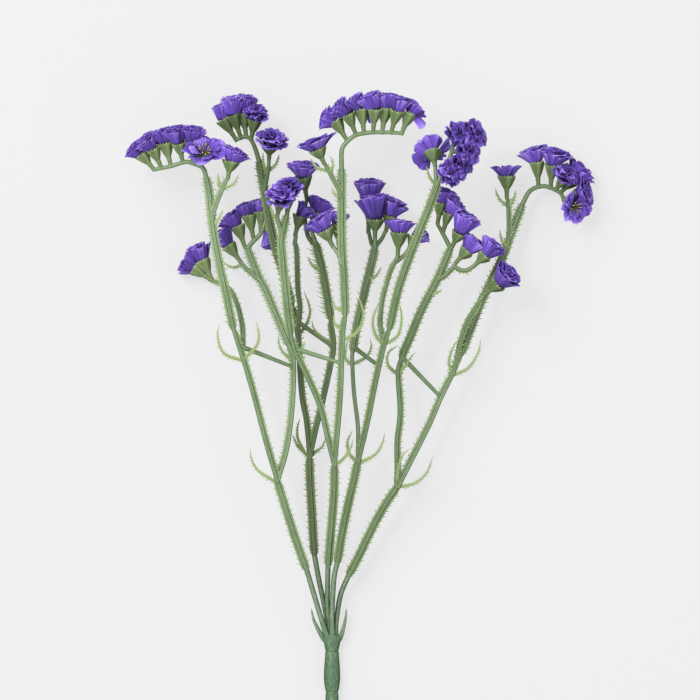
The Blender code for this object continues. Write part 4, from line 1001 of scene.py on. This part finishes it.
def make_materials():
    stalk = toned_material("stalk_plastic", ((0.035, 0.045, 0.02), (0.062, 0.128, 0.064), (0.25, 0.32, 0.19)),
                           (0.3, 0.5), (1.1, 0.35, 1), 0.8, mottle=1.1)
    rib = toned_material("rib_plastic", ((0.04, 0.05, 0.015), (0.12, 0.19, 0.08), (0.29, 0.43, 0.27)),
                         (0.26, 0.42), (2.0, 0.3, 1), 0.4, mottle=0.7)
    fringe = toned_material("fringe_plastic", ((0.055, 0.08, 0.022), (0.15, 0.21, 0.08), (0.36, 0.45, 0.25)),
                            (0.4, 0.55), (1.5, 0.5, 1), 0.15)
    bract = toned_material("bract_plastic", ((0.08, 0.12, 0.035), (0.2, 0.28, 0.1), (0.38, 0.46, 0.22)),
                           (0.4, 0.55), (1.5, 0.5, 1), 0.2)
    calyx = toned_material("calyx_plastic", ((0.035, 0.05, 0.015), (0.095, 0.15, 0.05), (0.3, 0.38, 0.16)),
                           (0.4, 0.58), (2.5, 0.5, 1), 0.25)
    fabric = toned_material("violet_cloth", ((0.018, 0.006, 0.09), (0.15, 0.072, 0.5), (0.5, 0.36, 0.95)),
                            (0.75, 0.92), (2.5, 0.4, 1), 0.5, mottle=0.3, fabric=True)
    stamen = toned_material("stamen_plastic", ((0.06, 0.06, 0.01), (0.2, 0.19, 0.05), (0.45, 0.4, 0.15)),
                            (0.5, 0.7), (1, 1, 1), 0.2)
    for thin in (fringe, bract):
        set_depth(thin, 0.25)
    set_depth(fabric, 0.12)
    sheen = fabric.node_tree.nodes["Principled BSDF"].inputs
    sheen["Sheen Weight"].default_value = 0.12
    sheen["Sheen Roughness"].default_value = 0.4
    sheen["Sheen Tint"].default_value = (0.6, 0.5, 1.0, 1.0)
    return {"stalk": stalk, "rib": rib, "fringe": fringe, "bract": bract, "calyx": calyx,
            "fabric": fabric, "stamen": stamen}


def set_depth(material, weight):
    """Let some light into a thin piece."""
    inputs = material.node_tree.nodes["Principled BSDF"].inputs
    inputs["Subsurface Weight"].default_value = weight
    inputs["Subsurface Scale"].default_value = 0.001


def build_floor():
    """The plain pale surface that the spray lies on: a light table, which takes most of the shadow off."""
    mesh = bpy.data.meshes.new("floor")
    half = 15.0
    corners = [(-half, -half, 0), (half, -half, 0), (half, half, 0), (-half, half, 0)]
    mesh.from_pydata(corners, [], [(0, 1, 2, 3)])
    material = bpy.data.materials.new("pale_paper")
    material.use_nodes = True
    inputs = material.node_tree.nodes["Principled BSDF"].inputs
    inputs["Base Color"].default_value = (*FLOOR_COLOUR, 1.0)
    inputs["Roughness"].default_value = 0.9
    inputs["Emission Color"].default_value = (1.0, 1.0, 1.0, 1.0)
    inputs["Emission Strength"].default_value = FLOOR_GLOW
    mesh.materials.append(material)
    floor = bpy.data.objects.new("floor", mesh)
    bpy.context.scene.collection.objects.link(floor)
    floor.visible_diffuse = False
    floor.visible_glossy = False


def add_light(name, place, size, power):
    """A square soft light that faces the middle of the spray."""
    data = bpy.data.lights.new(name, "AREA")
    data.size = size
    data.energy = power
    light = bpy.data.objects.new(name, data)
    light.location = place
    aim = Vector((0.01, 0.16, 0.0)) - Vector(place)
    light.rotation_euler = aim.to_track_quat("-Z", "Y").to_euler()
    bpy.context.scene.collection.objects.link(light)


def light_studio():
    """A tent of pale light that is brightest overhead, and lamps from the upper left."""
    world = bpy.data.worlds.new("studio")
    world.use_nodes = True
    tree = world.node_tree
    direction = tree.nodes.new("ShaderNodeTexCoord")
    parts = tree.nodes.new("ShaderNodeSeparateXYZ")
    share = add_node(tree, "ShaderNodeMapRange", From_Min=-1.0)
    ramp = tree.nodes.new("ShaderNodeValToRGB")
    for k, (place, glow) in enumerate(SKY):
        stop = ramp.color_ramp.elements[0] if k == 0 else ramp.color_ramp.elements.new(place)
        stop.position = place
        stop.color = (0.97 * glow, 0.985 * glow, glow, 1.0)
    tree.links.new(direction.outputs["Generated"], parts.inputs["Vector"])
    tree.links.new(parts.outputs["Z"], share.inputs["Value"])
    tree.links.new(share.outputs["Result"], ramp.inputs["Fac"])
    tree.links.new(ramp.outputs["Color"], tree.nodes["Background"].inputs["Color"])
    bpy.context.scene.world = world
    add_light("key", (-1.3, 1.5, 2.2), 1.6, KEY_POWER)
    add_light("spark", (-0.9, 1.0, 2.4), 0.3, SPARK_POWER)
    add_light("fill", (1.8, -0.8, 2.0), 2.0, FILL_POWER)
    bpy.context.scene.view_settings.view_transform = "Standard"


def aim_camera():
    """A long lens straight above the middle of the photograph's frame."""
    data = bpy.data.cameras.new("photo_camera")
    data.lens = LENS
    data.sensor_width = SENSOR
    data.clip_end = 100.0
    camera = bpy.data.objects.new("photo_camera", data)
    half = PHOTO_PIXELS / 2
    distance = PHOTO_PIXELS * MM_PER_PIXEL * LENS / SENSOR
    middle_x = (half - ORIGIN_PIXEL[0]) * MM_PER_PIXEL
    middle_y = (ORIGIN_PIXEL[1] - half) * MM_PER_PIXEL
    camera.location = Vector((middle_x, middle_y, VIEW_HEIGHT + distance)) * MM
    bpy.context.scene.collection.objects.link(camera)
    bpy.context.scene.camera = camera


def main():
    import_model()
    aim_camera()
    light_studio()
    build_floor()
    materials = make_materials()
    draw = random.Random(11)
    build_stalk(materials["stalk"])
    build_collar(materials["stalk"])
    tables = {"branch_a": branch_a(), "branch_b": branch_b(), "branch_c": branch_c(),
              "branch_d": branch_d(), "branch_e": branch_e()}
    for name, table in tables.items():
        build_branch(name, table, materials, draw)


main()
